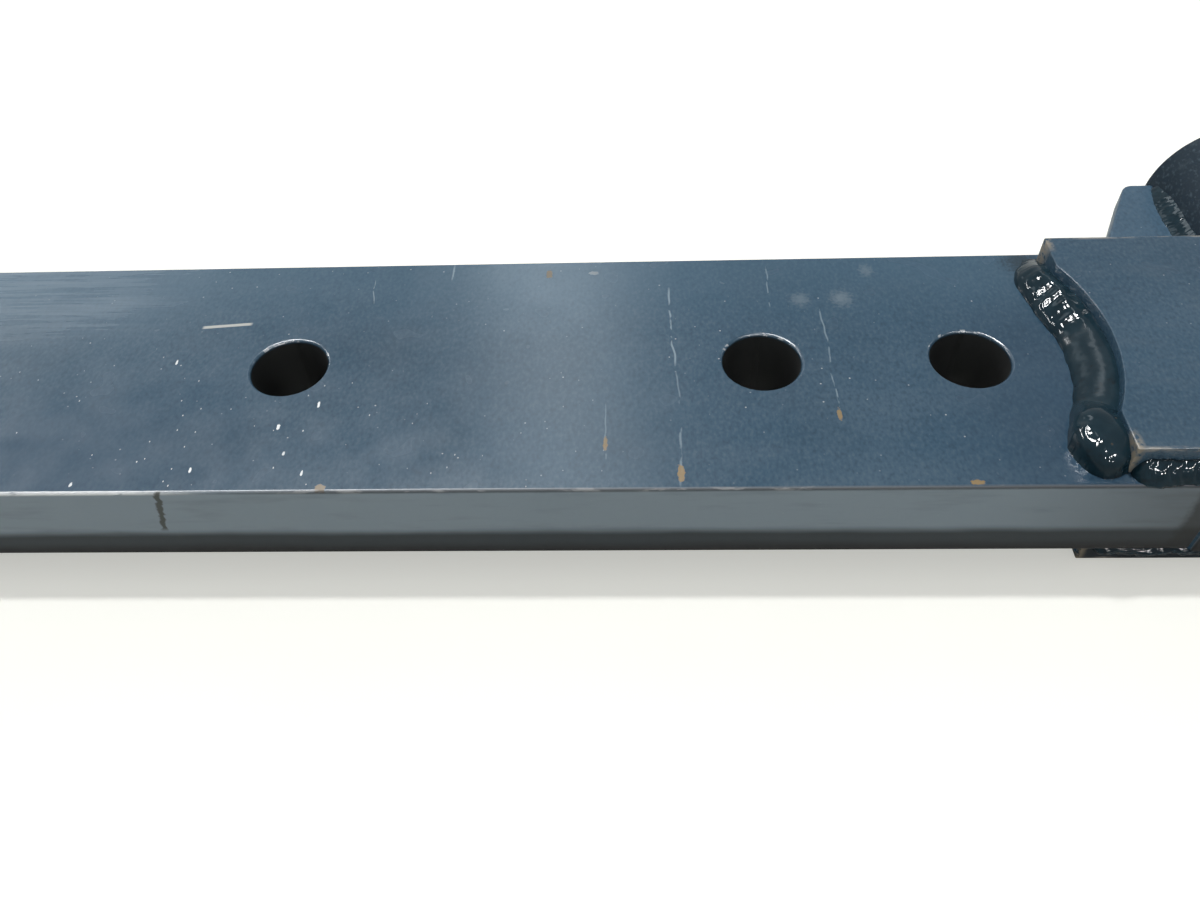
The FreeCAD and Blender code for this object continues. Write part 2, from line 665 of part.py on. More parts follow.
def latch_spring():
    """The coil between the plunger's head and the plug, drawn squeezed."""
    piece = on_edge("latch_spring")
    wire = sketch(piece, "XZ_Plane", "wire_circle")
    half = "(Dims.spring_wire / 2)"
    low = f"({HEAD_TOP} + {half} + Dims.spring_seat_gap)"
    high = f"({PLUG_SEAT} - {half} - Dims.spring_seat_gap)"
    circle(wire, "Dims.spring_mean_size / 2", low, half)
    coil = piece.newObject("PartDesign::AdditiveHelix", "coil")
    coil.Profile = wire
    coil.ReferenceAxis = (wire, ["V_Axis"])
    coil.Mode = 1
    coil.setExpression("Pitch", f"({high} - {low}) / Dims.spring_turns")
    coil.setExpression("Turns", "Dims.spring_turns")
    doc.recompute()
    return piece


def latch_plug():
    piece = on_edge("latch_plug")
    face = sketch(piece, "XY_Plane", "plug_circle", PLUG_SEAT)
    circle(face, "0", "0", "Dims.plug_bore / 2 - Dims.plug_gap")
    pad(piece, "plug", face, "Dims.plug_thick")
    return piece


def plug_ring():
    """A snap ring in the groove above the plug, open at the front."""
    piece = on_edge("plug_ring")
    outer = "(Dims.plug_bore / 2 + Dims.ring_groove_depth - Dims.ring_gap)"
    band = sketch(piece, "XY_Plane", "ring_circles", f"{PLUG_TOP} + Dims.ring_gap")
    circle(band, "0", "0", outer)
    circle(band, "0", "0", f"({outer} - Dims.ring_width)")
    pad(piece, "ring", band, "Dims.ring_thick")
    mouth = sketch(piece, "XY_Plane", "mouth_outline")
    reach = f"({outer} + Dims.cut_overrun)"
    half = f"({reach} * tan(Dims.ring_mouth_angle / 2))"
    outline(mouth, [("0", "0"), (minus(reach), half), (minus(reach), minus(half))])
    cut(piece, "mouth", mouth)
    return piece


def latch_handle():
    """A rod screwed into the plunger's head through the barrel's slot."""
    piece = on_edge("latch_handle")
    face = sketch(piece, "YZ_Plane", "rod_circle", "Dims.handle_root_depth")
    circle(face, "0", HANDLE_HEIGHT, "Dims.handle_size / 2")
    pad(piece, "rod", face, "Dims.handle_length")
    return piece


def handle_knob():
    """A ball knob with a flat seat, bored for the rod."""
    piece = body("handle_knob", x=LATCH, y=f"{BAR_EDGE} + {HANDLE_HEIGHT}")
    half = sketch(piece, "XY_Plane", "knob_profile")
    rod = "(Dims.handle_size / 2 + Dims.handle_fit)"
    radius = "(Dims.knob_size / 2)"
    tip = "(Dims.handle_root_depth + Dims.handle_length)"
    centre = f"({tip} - Dims.knob_depth + Dims.knob_flat)"
    seat_radius = f"sqrt({radius}^2 - Dims.knob_flat^2)"
    outline(half, [
        (f"({centre} - Dims.knob_flat)", rod), (tip, rod), (tip, "0"),
        (f"({centre} + {radius})", "0", radius, "left"), (centre, radius, radius, "left"),
        (f"({centre} - Dims.knob_flat)", seat_radius),
    ])
    grow(piece, "Revolution", "knob_turned", half, ReferenceAxis=(half, ["H_Axis"]))
    return piece


# Gusset in front of the barrel

def round_barrel_room(piece, name):
    """Takes the barrel's round out of a piece that meets it."""
    before = piece.Shape.Volume
    room = piece.newObject("PartDesign::SubtractiveCylinder", name)
    room.Placement.Rotation = OUT_OF_EDGE
    room.setExpression("Placement.Base.x", LATCH)
    room.setExpression("Radius", BARREL_RADIUS)
    room.setExpression("Height", "Dims.bar_width + Dims.barrel_length")
    doc.recompute()
    if room.Shape.Volume > before - TINY:
        raise ValueError(f"{piece.Label}: {name} cuts nothing")


def latch_gusset():
    """A plate with a slanted front edge and a short top land, in the middle of the thickness."""
    piece = body("latch_gusset")
    flat = sketch(piece, "XY_Plane", "gusset_outline")
    top = f"({BAR_EDGE} + Dims.gusset_height)"
    shoulder = f"({GUSSET_TOE} + Dims.gusset_slant_run)"
    outline(flat, [(GUSSET_TOE, BAR_EDGE), (LATCH, BAR_EDGE), (LATCH, top), (shoulder, top)])
    pad(piece, "gusset_flat", flat, "Dims.gusset_thick", both_ways=True)
    corner = value(shoulder)
    dress(piece, "Fillet", "shoulder_round", "Dims.gusset_corner_round",
          lambda e: runs_along(e, UP) and abs(e.CenterOfMass.x - corner) < TINY)
    round_barrel_room(piece, "room_for_barrel")
    return piece


def gusset_barrel_weld():
    """Fillet welds up both sides of the gusset where it meets the barrel."""
    piece = body("gusset_barrel_weld")
    face, leg = "(Dims.gusset_thick / 2)", "Dims.gusset_weld_leg"
    start = f"({BAR_EDGE} + Dims.barrel_weld_leg)"
    end = f"({BAR_EDGE} + Dims.gusset_height - Dims.gusset_weld_end_gap)"
    toe = f"({LATCH} - {BARREL_RADIUS} - {leg})"
    for name, sign in (("upper_bead", ""), ("lower_bead", "-1 * ")):
        section = sketch(piece, "XZ_Plane", f"{name}_section", minus(start))
        corners = [
            (toe, f"({sign}{face})"), (LATCH, f"({sign}{face})"),
            (LATCH, f"({sign}({face} + {leg}))"),
            (f"({toe} + {leg} + Dims.cut_overrun)", f"({sign}({face} + {leg}))"),
        ]
        outline(section, corners if sign == "" else corners[::-1])
        pad(piece, name, section, f"{end} - {start}", back=True)
    round_barrel_room(piece, "room_for_barrel")
    return piece


def gusset_foot_weld():
    """Fillet welds along both sides of the gusset's foot."""
    piece = body("gusset_foot_weld")
    face, leg = "(Dims.gusset_thick / 2)", "Dims.gusset_weld_leg"
    end = f"({LATCH} - {BARREL_RADIUS} - Dims.barrel_weld_leg)"
    for name, sign in (("upper_bead", ""), ("lower_bead", "-1 * ")):
        section = sketch(piece, "YZ_Plane", f"{name}_section", GUSSET_TOE)
        corners = [
            (BAR_EDGE, f"({sign}{face})"), (f"({BAR_EDGE} + {leg})", f"({sign}{face})"),
            (BAR_EDGE, f"({sign}({face} + {leg}))"),
        ]
        outline(section, corners if sign == "" else corners[::-1])
        pad(piece, name, section, f"{end} - {GUSSET_TOE}")
    return piece


main_bar()
eye("front_eye", LEVEL, "0 * Dims.bar_width", "Dims.front_eye_reach", "Dims.front_land",
    BAR_EDGE, "Dims.bar_thick", "Dims.neck_half_width", "Dims.neck_hollow_radius")
butt_weld("front_eye_weld", BAR_START, BAR_EDGE, BAR_FACE)
ball("front_ball", "0 * Dims.bar_width")
cheek_plate("cheek_plate_top", BAR_FACE)
cheek_plate("cheek_plate_bottom", minus(CHEEK_FACE))
latch_side_spacer()
spacer("plain_side_spacer", minus(CHANNEL_EDGE), minus(BAR_EDGE))
end_weld("cheek_end_weld_top", "top")
end_weld("cheek_end_weld_bottom", "bottom")
seam_welds("cheek_seam_welds_top", "top")
seam_welds("cheek_seam_welds_bottom", "bottom")
sliding_bar()
eye("rear_eye", HALF_TURN, REAR_BALL, "Dims.rear_eye_reach", "Dims.rear_land",
    SLIDE_EDGE, SLIDE_THICK, "Dims.rear_neck_half_width", "Dims.rear_hollow_radius")
butt_weld("rear_eye_weld", SLIDE_END, SLIDE_EDGE, f"({SLIDE_THICK} / 2)")
ball("rear_ball", REAR_BALL)
stop_pin()
stop_pin_welds()
latch_barrel()
latch_barrel_weld()
latch_plunger()
latch_spring()
latch_plug()
plug_ring()
latch_handle()
handle_knob()
latch_gusset()
gusset_barrel_weld()
gusset_foot_weld()
doc.recompute()

for item in doc.Objects:
    if "Invalid" in item.State or "Error" in item.State:
        raise ValueError(f"{item.Label} has failed")

os.makedirs("parts", exist_ok=True)
for piece in doc.findObjects("PartDesign::Body"):
    if piece.Shape.isNull() or not piece.Shape.isValid():
        raise ValueError(f"{piece.Label} has no valid shape")
    piece.Shape.exportStep(f"parts/{piece.Label}.step")
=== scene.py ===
"""Looks of a telescopic lower link: worn slate-blue paint, rippled welds, bright balls and latch.

Lengths in the helpers are in millimetres of the model's own frame, and meshes are stored in metres.
"""
import math

import bmesh
import bpy
import numpy as np
from mathutils import Matrix, Vector

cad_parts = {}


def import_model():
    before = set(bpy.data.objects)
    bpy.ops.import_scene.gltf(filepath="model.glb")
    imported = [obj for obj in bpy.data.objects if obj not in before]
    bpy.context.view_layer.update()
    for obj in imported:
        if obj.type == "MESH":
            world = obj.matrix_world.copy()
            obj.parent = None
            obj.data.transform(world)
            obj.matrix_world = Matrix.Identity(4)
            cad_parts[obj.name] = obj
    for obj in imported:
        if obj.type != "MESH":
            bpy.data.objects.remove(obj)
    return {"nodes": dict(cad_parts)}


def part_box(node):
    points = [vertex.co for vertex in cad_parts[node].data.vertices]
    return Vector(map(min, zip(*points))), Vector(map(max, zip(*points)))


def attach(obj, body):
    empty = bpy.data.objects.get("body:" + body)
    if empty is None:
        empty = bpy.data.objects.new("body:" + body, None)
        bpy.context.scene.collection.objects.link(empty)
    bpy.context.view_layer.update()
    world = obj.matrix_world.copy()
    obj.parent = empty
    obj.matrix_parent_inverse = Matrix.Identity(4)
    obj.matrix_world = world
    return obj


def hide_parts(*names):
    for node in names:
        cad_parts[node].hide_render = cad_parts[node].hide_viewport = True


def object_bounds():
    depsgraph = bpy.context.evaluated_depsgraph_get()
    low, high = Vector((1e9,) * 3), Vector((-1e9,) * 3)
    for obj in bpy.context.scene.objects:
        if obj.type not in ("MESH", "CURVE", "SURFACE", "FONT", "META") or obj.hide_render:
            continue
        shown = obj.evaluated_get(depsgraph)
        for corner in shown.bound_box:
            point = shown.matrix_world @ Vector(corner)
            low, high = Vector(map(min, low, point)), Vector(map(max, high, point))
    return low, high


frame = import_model()
cad_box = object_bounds()
nodes = frame["nodes"]

MM = 0.001
TURN = 2 * math.pi


def limits(node):
    """Lowest and highest corner of a node, in millimetres."""
    low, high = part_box(node)
    return np.array(low) / MM, np.array(high) / MM


# Places that the welds and marks are counted from
BAR_HIGH = limits("main_bar")[1]
CHEEK_LOW, CHEEK_HIGH = limits("cheek_plate_top")
BARREL_LOW, BARREL_HIGH = limits("latch_barrel")
GUSSET_LOW, GUSSET_HIGH = limits("latch_gusset")
PIN_LOW, PIN_HIGH = limits("stop_pin")
FLOOR_LEVEL = cad_box[0][2]
BAR_END = BAR_HIGH[0]
BAR_EDGE = BAR_HIGH[1]
BAR_FACE = BAR_HIGH[2]
CHEEK_START = CHEEK_LOW[0]
CHEEK_EDGE = CHEEK_HIGH[1]
CHEEK_FACE = CHEEK_HIGH[2]
BARREL_RADIUS = (BARREL_HIGH[0] - BARREL_LOW[0]) / 2
LATCH = (BARREL_HIGH[0] + BARREL_LOW[0]) / 2
STOP_PIN = (PIN_HIGH[0] + PIN_LOW[0]) / 2
# The bar's cross holes, counted from the front ball
HOLES = (382.0, 500.0, 550.5)
HOLE_RADIUS = 9.65


# Surface finishes

class Wire:
    """A value inside a finish. The usual operators add Math nodes."""

    def __init__(self, finish, socket):
        self.finish, self.socket = finish, socket

    def math(self, operation, *others):
        """The Math node of that name on this value and the others."""
        inputs = {f"in_{n}": entry for n, entry in enumerate((self, *others))}
        return self.finish.add("Math", {"operation": operation}, **inputs)

    def flipped(self, operation, other):
        """The Math node of that name with the other value first."""
        inputs = {"in_0": other, "in_1": self}
        return self.finish.add("Math", {"operation": operation}, **inputs)

    def __add__(self, other):
        return self.math("ADD", other)

    def __sub__(self, other):
        return self.math("SUBTRACT", other)

    def __mul__(self, other):
        return self.math("MULTIPLY", other)

    def __pow__(self, other):
        return self.math("POWER", other)

    def __rsub__(self, other):
        return self.flipped("SUBTRACT", other)

    __radd__ = __add__
    __rmul__ = __mul__

    def __abs__(self):
        return self.math("ABSOLUTE")

    def least(self, other):
        """The smaller of the two values."""
        return self.math("MINIMUM", other)

    def most(self, other):
        """The larger of the two values."""
        return self.math("MAXIMUM", other)

    def step(self, start, end):
        """0 before start, 1 after end, and a smooth rise between them. Start may be the larger."""
        settings = {"interpolation_type": "SMOOTHSTEP"}
        low, high, first, last = (start, end, 0.0, 1.0) if start < end else (end, start, 1.0, 0.0)
        return self.finish.add("MapRange", settings, in_0=self, in_1=low, in_2=high,
                               in_3=first, in_4=last)


class Finish:
    """A procedural material that is built up in coats. Masks run from 0 to 1 over the surface."""

    def __init__(self, name, colour, roughness, **plain):
        self.material = bpy.data.materials.new(name)
        self.material.use_nodes = True
        self.tree = self.material.node_tree
        self.tree.nodes.clear()
        self.output = self.tree.nodes.new("ShaderNodeOutputMaterial")
        self.shader = self.tree.nodes.new("ShaderNodeBsdfPrincipled")
        self.tree.links.new(self.shader.outputs[0], self.output.inputs[0])
        for socket, entry in plain.items():
            self.shader.inputs[socket.replace("_", " ")].default_value = entry
        self.colour = (*colour, 1.0)
        self.roughness = roughness
        self.metal = None
        self.relief = None
        # the fourth output of the node holds Object coordinates
        self.where = self.add("TexCoord", out=3)
        parts = self.add("SeparateXYZ", in_0=self.where)
        outputs = parts.socket.node.outputs
        self.x, self.y, self.z = (Wire(self, outputs[axis]) * (1 / MM) for axis in range(3))

    def add(self, kind, settings=None, out=0, **sockets):
        """A node of that kind. Its settings come first, then its sockets by number."""
        node = self.tree.nodes.new(f"ShaderNode{kind}")
        for setting, entry in (settings or {}).items():
            setattr(node, setting, entry)
        for socket, entry in sockets.items():
            self.feed(node.inputs[int(socket[3:])], entry)
        return Wire(self, node.outputs[out])

    def feed(self, socket, entry):
        """Links a wire to a socket, or sets a plain value on it."""
        if isinstance(entry, Wire):
            self.tree.links.new(entry.socket, socket)
        else:
            socket.default_value = entry

    def stretched(self, stretch, shift=(0, 0, 0)):
        """Object coordinates in which a pattern is drawn out along an axis, and moved."""
        scaled = self.add("VectorMath", {"operation": "MULTIPLY"}, in_0=self.where,
                          in_1=tuple(1 / s for s in stretch))
        return self.add("VectorMath", {"operation": "ADD"}, in_0=scaled, in_1=shift)

    def noise(self, size, detail=3.0, stretch=(1, 1, 1), shift=(0, 0, 0), rough=0.55):
        """Cloudy noise with clouds of that size."""
        return self.add("TexNoise", in_0=self.stretched(stretch, shift), in_2=1 / (size * MM),
                        in_3=detail, in_4=rough)

    def grains(self, size, stretch=(1, 1, 1), shift=(0, 0, 0)):
        """Distance to the nearest of scattered points, as a share of their spacing."""
        return self.add("TexVoronoi", in_0=self.stretched(stretch, shift), in_2=1 / (size * MM))

    def mix(self, first, second, mask):
        """The first colour, and the second one where the mask is."""
        return self.add("Mix", {"data_type": "RGBA"}, out=2, in_0=mask, in_6=first, in_7=second)

    def coat(self, colour, mask, roughness=None, metal=None, height=None):
        """Lays a coat of colour where the mask is, with its own gloss and thickness."""
        self.colour = self.mix(self.colour, (*colour, 1.0), mask)
        if roughness is not None:
            self.roughness = (roughness - self.roughness) * mask + self.roughness
        if metal is not None:
            base = self.metal if self.metal is not None else mask * 0.0
            self.metal = base + mask * metal
        if height is not None:
            self.emboss(mask * height)

    def emboss(self, height):
        """Adds a height in millimetres to the relief."""
        self.relief = height if self.relief is None else self.relief + height

    def spot(self, x, y, half_x, half_y, soft=0.3):
        """A ragged patch round a point of the top face. It fades inwards by the soft share."""
        across = (self.x - x) * (1 / half_x)
        along = (self.y - y) * (1 / half_y)
        away = (across * across + along * along) ** 0.5
        ragged = (self.noise(0.9, shift=(x * MM, y * MM * 3, 1)) - 0.5) * 1.4
        return (away + ragged).step(1.05, 1.05 - soft)

    def scratch(self, points, width):
        """A broken fine line between two points of the top face that lie across the bar."""
        (x_start, y_start), (x_end, y_end) = points
        lean = (x_end - x_start) / (y_end - y_start)
        drift = (self.noise(9.0, 1.0, shift=(x_start * MM, 0, 1)) - 0.5) * 2.2
        aside = abs(self.x - x_start - (self.y - y_start) * lean - drift)
        low, high = sorted((y_start, y_end))
        inside = self.y.step(low - 1, low + 2) * self.y.step(high + 1, high - 2)
        pieces = self.noise(2.2, 2.0, stretch=(1, 2, 1), shift=(y_start * MM, 0, 2))
        return aside.step(width, width * 0.3) * inside * pieces.step(0.42, 0.52)

    def on_top(self):
        """1 on the bar's upper face."""
        return self.z.step(BAR_FACE - 0.9, BAR_FACE - 0.2)

    def done(self):
        """Joins the coats to the shader."""
        self.feed(self.shader.inputs["Base Color"], self.colour)
        self.feed(self.shader.inputs["Roughness"], self.roughness)
        if self.metal is not None:
            self.feed(self.shader.inputs["Metallic"], self.metal.least(1.0))
        if self.relief is not None:
            bump = self.add("Bump", in_0=1.0, in_1=MM, in_3=self.relief)
            self.feed(self.shader.inputs["Normal"], bump)
        return self.material


PAINT = (0.031, 0.080, 0.131)
PALE_DUST = (0.30, 0.33, 0.34)
PALE_SMUDGE = (0.15, 0.20, 0.24)
# A darker patch over the bar at the far start of the end weld
DARK_PATCH = (0.010, 0.026, 0.038)
SCRATCH_BLUE = (0.17, 0.25, 0.30)
RUST = (0.215, 0.125, 0.014)
BARE = (0.33, 0.31, 0.27)
# Near black: soot at the joint end, and painted shade on the walls of the holes
SOOT_AND_SHADE = (0.006, 0.008, 0.008)
WHITE_CHIP = (0.80, 0.83, 0.83)

# Marks on the bar's top face, placed by the photograph.
# Scratches: the two ends, the half width and the strength
SCRATCHES = (
    (((477.4, 28.0), (479.0, -1.0)), 0.33, 0.85),
    (((479.0, -3.0), (479.6, -24.0)), 0.28, 0.4),
    (((479.4, -22.0), (478.8, -39.0)), 0.35, 0.5),
    (((516.4, 19.0), (516.6, -16.0)), 0.26, 0.6),
    (((504.0, 36.5), (503.4, 20.0)), 0.22, 0.6),
    (((461.8, -14.0), (462.0, -31.0)), 0.24, 0.5),
    (((398.2, 33.0), (399.4, 24.0)), 0.2, 0.6),
    (((419.5, 39.0), (419.0, 33.0)), 0.3, 0.7),
    (((310.5, -12.0), (309.0, -38.0)), 0.25, 0.4),
)
# Spots and soft patches: the middle, the half length and half width, the colour and the strength
SPOTS = (
    (479.1, -35.4, 0.85, 2.8, RUST, 0.9),
    (516.5, -18.0, 0.6, 2.1, RUST, 0.85),
    (462.0, -26.5, 0.55, 2.4, RUST, 0.8),
    (445.7, 34.8, 0.9, 2.0, RUST, 0.6),
    (543.5, -38.6, 1.6, 0.8, RUST, 0.9),
    (398.1, -39.0, 1.5, 1.2, RUST, 0.7),
    (457.7, 34.9, 1.5, 0.8, PALE_DUST, 0.6),
    (366.8, -33.4, 0.34, 0.9, WHITE_CHIP, 0.95),
    (392.4, -13.2, 0.36, 1.0, WHITE_CHIP, 0.95),
    (384.2, -20.3, 0.42, 1.0, WHITE_CHIP, 0.9),
    (387.4, -28.6, 0.36, 0.8, WHITE_CHIP, 0.7),
    (393.0, -34.6, 0.30, 0.8, WHITE_CHIP, 0.8),
    (352.6, 2.2, 0.30, 0.9, WHITE_CHIP, 0.8),
    (340.2, -37.4, 0.36, 0.7, WHITE_CHIP, 0.8),
)
# Soft patches: pale smudges of dust, and a darker patch over the bar at the far start of the end weld
SOFT_PATCHES = (
    (511.8, 22.8, 3.6, 3.6, PALE_SMUDGE, 0.6),
    (522.4, 23.0, 4.0, 4.2, PALE_SMUDGE, 0.7),
    (530.5, 34.0, 2.6, 3.6, PALE_SMUDGE, 0.5),
    (572.0, 36.5, 7.5, 7.5, DARK_PATCH, 0.8),
)


def painted(name, shade=1.0, roughness=0.25, peel=0.02, flecks=0.5, gloss=0.40):
    """Slate-blue brushed paint: cloudy tone, orange peel, dust specks and small pale flecks."""
    finish = Finish(name, [shade * c for c in PAINT], roughness, IOR=1.45,
                    Specular_IOR_Level=gloss)
    cloud = finish.noise(34.0, 4.0)
    finish.coat([0.74 * shade * c for c in PAINT], cloud.step(0.36, 0.76) * 0.55)
    brushed = finish.noise(22.0, 3.0, stretch=(2.5, 1, 1), shift=(3, 1, 0))
    finish.coat((0.065 * shade, 0.115 * shade, 0.165 * shade), brushed.step(0.42, 0.85) * 0.6)
    fine = finish.noise(0.85, 1.0, stretch=(1, 1.6, 1))
    finish.coat((0.085, 0.135, 0.175), fine.step(0.45, 0.85) * 0.45)
    finish.coat((0.012, 0.035, 0.062), fine.step(0.55, 0.15) * 0.50)
    dots = finish.grains(3.2).step(0.085, 0.035)
    seldom = finish.noise(14.0, 2.0, shift=(5, 5, 0)).step(0.46, 0.60)
    finish.coat((0.42, 0.46, 0.48), dots * seldom * flecks, roughness=0.6)
    finish.emboss(finish.noise(1.6, 1.0) * peel)
    finish.emboss(fine * (peel * 0.3))
    finish.roughness = (finish.noise(9.0, 1.0, shift=(2, 0, 0)) - 0.5) * 0.12 + finish.roughness
    return finish


def edge_face_streaks_and_painted_light(finish, mask):
    """Paint on the bar's edge faces with painted light: greyer as a painted reflection of the pale
    floor, with streaks, painted shade towards the sleeve end, and painted shade over the lower
    part, black at the very bottom.
    """
    # Painted reflection: the edge faces greyer, standing for the pale floor mirrored in them
    finish.coat((0.262, 0.326, 0.372), mask * 0.9, roughness=0.40)
    streaks = finish.noise(4.0, 3.0, stretch=(6, 1, 1), shift=(0, 7, 0))
    finish.coat((0.110, 0.140, 0.160), mask * streaks.step(0.50, 0.80) * 0.4)
    ragged = finish.z + (finish.noise(9.0, 2.0, stretch=(3, 1, 1)) - 0.5) * 2.0
    # Painted shade: darker towards the sleeve end
    finish.coat((0.055, 0.068, 0.078), mask * finish.x.step(540.0, 610.0) * 0.75)
    # Painted shade: the lower part darker where the face would mirror the shadowed floor, black at
    # the bottom
    finish.coat((0.012, 0.018, 0.022), mask * ragged.step(-1.0, -4.4) * 0.92, roughness=0.5)
    finish.coat((0.004, 0.003, 0.002), mask * ragged.step(-6.0, -11.0) * 0.9, roughness=0.7)


def bar_tone(finish, top):
    """Greyer edge faces as a painted reflection, with painted shade low down, rolling streaks at
    the far left, a lighter and bluer strip along the far edge as painted light, and painted
    shade towards both ends."""
    edge_face_streaks_and_painted_light(finish, abs(finish.y).step(BAR_EDGE - 0.5, BAR_EDGE - 0.1))
    rolled = finish.noise(1.3, 3.0, stretch=(22, 1, 1), shift=(1, 0, 0)).step(0.25, 0.90)
    far_left = finish.x.step(352.0, 322.0) * finish.y.step(5.0, 26.0) * top
    finish.coat((0.22, 0.28, 0.33), rolled * far_left * 0.55, roughness=0.5)
    # Painted light: a lighter, bluer strip along the far edge of the top face
    finish.coat((0.060, 0.130, 0.195), finish.y.step(4.0, 40.0) * top * 0.42)
    # Painted shade: darker towards the near left and towards the right end
    near_left_painted_shade = finish.x.step(400.0, 330.0) * finish.y.step(0.0, -30.0) * top
    finish.coat((0.012, 0.052, 0.100), near_left_painted_shade * 0.6)
    near_right_painted_shade = finish.x.step(530.0, 566.0) * finish.y.step(30.0, 0.0) * top
    finish.coat((0.010, 0.038, 0.076), near_right_painted_shade * 0.4)


def bar_wear(finish, top):
    """Pale flecks, most of them towards the left end and the near edge, then scratches, spots,
    pale smudges, a darker patch by the end weld, and the scrape by the left hole."""
    for size, shift, reach in ((5.5, 2, 0.060), (8.0, 4, 0.045)):
        chips = finish.grains(size, stretch=(0.5, 1, 1), shift=(shift, 0, 0))
        thick = finish.x.step(500.0, 370.0) * finish.y.step(20.0, -20.0) * 0.8 + 0.06
        finish.coat((0.75, 0.78, 0.78), chips.step(reach, reach * 0.5) * thick * top,
                    roughness=0.5)
    for points, width, strength in SCRATCHES:
        finish.coat(SCRATCH_BLUE, finish.scratch(points, width) * top * strength,
                    roughness=0.6, height=-0.02)
    for *place, colour, strength in SPOTS:
        finish.coat(colour, finish.spot(*place) * top * strength, roughness=0.6)
    for *place, colour, strength in SOFT_PATCHES:
        finish.coat(colour, finish.spot(*place, soft=0.95) * top * strength)
    aside = (finish.x - 362.0) * -0.09 + finish.y - 15.8
    scrape = abs(aside).step(0.62, 0.35) * finish.x.step(355.2, 356.0) * finish.x.step(368.8, 367.6)
    finish.coat((0.42, 0.42, 0.38), scrape * top * 0.9, roughness=0.5, height=-0.03)


def near_edge(finish):
    """The near arris is darkened as painted shade; at the left end it is scuffed to the metal and
    painted near white as a painted highlight. The end by the joint is black with soot, and a
    drip has dried on the edge face."""
    near = finish.y.step(-BAR_EDGE + 0.9, -BAR_EDGE + 0.1)
    arris = near * finish.z.step(BAR_FACE - 1.1, BAR_FACE - 0.3)
    rubbed_and_highlit = finish.noise(2.4, 4.0, stretch=(5, 1, 1), shift=(0, 0, 3))
    # Painted shade: the arris darkened and dulled away from the left end
    finish.coat((0.012, 0.016, 0.020), arris * finish.x.step(355.0, 405.0) * 0.85, roughness=0.85)
    # Painted highlight: near white on the scuffed arris at the left end
    finish.coat((0.80, 0.83, 0.84), arris * rubbed_and_highlit.step(0.34, 0.44) * finish.x.step(376.0, 350.0),
                roughness=0.35)
    finish.coat((0.45, 0.46, 0.46), arris * rubbed_and_highlit.step(0.60, 0.66) * 0.35, roughness=0.35)
    joint = finish.x + (finish.noise(3.0, 2.0, shift=(0, 4, 0)) - 0.5) * 3.0
    finish.coat(SOOT_AND_SHADE, joint.step(BAR_END - 6.5, BAR_END - 4.0) * near * 0.8)
    aside = finish.x - 360.6 - (finish.z - 10.5) * 0.25
    drip = abs(aside + (finish.noise(2.0, 2.0) - 0.5) * 2.0).step(1.0, 0.4) \
        * finish.z.step(-2.5, -0.5) * near
    finish.coat((0.035, 0.036, 0.022), drip * 0.85)


def drilled_holes(finish):
    """Thick near-black paint on the walls of the holes, as painted shade for the dark inside
    them, and pale bits on the far half of their rims as painted glints."""
    away = None
    for place in HOLES:
        across = finish.x - place
        one = (across * across + finish.y * finish.y) ** 0.5
        away = one if away is None else away.least(one)
    inside = away.step(HOLE_RADIUS + 0.35, HOLE_RADIUS + 0.1)
    depth = abs(finish.z)
    # Painted shade: the walls of the holes near black
    finish.coat(SOOT_AND_SHADE, inside * depth.step(BAR_FACE - 0.2, BAR_FACE - 1.2), roughness=0.5)
    rim = away.step(HOLE_RADIUS + 0.75, HOLE_RADIUS + 0.55) \
        * depth.step(BAR_FACE - 0.6, BAR_FACE - 0.4)
    # Painted glints: pale bits on the far half of each rim
    worn_and_glinting = finish.noise(2.5, 2.0).step(0.57, 0.64) * finish.y.step(1.0, 5.0)
    finish.coat((0.55, 0.58, 0.60), rim * worn_and_glinting * 0.7)


def bar_finish():
    """Paint of the flat bar, with the scrapes, scratches and rust that its top face carries."""
    finish = painted("bar_paint", peel=0.008, flecks=0.85)
    top = finish.on_top()
    bar_tone(finish, top)
    bar_wear(finish, top)
    near_edge(finish)
    drilled_holes(finish)
    return finish.done()


def sleeve_finish():
    """Paint of the cheeks and spacers, scraped to the metal along the cheeks' arrises, with painted
    light and shade on the edge faces and painted shade on the lower cheek's sides.
    """
    finish = painted("sleeve_paint", peel=0.022, flecks=0.55)
    edge_face_streaks_and_painted_light(finish, abs(finish.y).step(BAR_EDGE - 0.5, BAR_EDGE - 0.1))
    sides = abs(finish.y).step(CHEEK_EDGE - 0.5, CHEEK_EDGE - 0.1)
    # Painted shade: the lower cheek's sides, under the bar, darkened
    finish.coat((0.012, 0.016, 0.019), sides * finish.z.step(-BAR_FACE, -BAR_FACE - 1.5) * 0.9,
                roughness=0.5)
    scuffs = finish.noise(6.0, 2.0, stretch=(3, 1, 1), shift=(9, 2, 0)).step(0.45, 0.85)
    finish.coat((0.070, 0.110, 0.145), scuffs * 0.35)
    arris = abs(finish.y).step(CHEEK_EDGE - 1.1, CHEEK_EDGE - 0.25) \
        * abs(finish.z).step(CHEEK_FACE - 1.4, CHEEK_FACE - 0.3)
    rubbed_and_highlit = finish.noise(3.0, 4.0, stretch=(4, 1, 1), shift=(1, 0, 6)).step(0.44, 0.58)
    finish.coat(BARE, arris * rubbed_and_highlit * 0.85, roughness=0.45)
    tips = finish.x.step(CHEEK_START + 2.2, CHEEK_START + 0.4) \
        * abs(finish.y).step(CHEEK_EDGE - 6.5, CHEEK_EDGE - 2.0)
    finish.coat((0.27, 0.235, 0.175), tips * finish.noise(1.6, 3.0).step(0.36, 0.55) * 0.9,
                roughness=0.55)
    return finish.done()


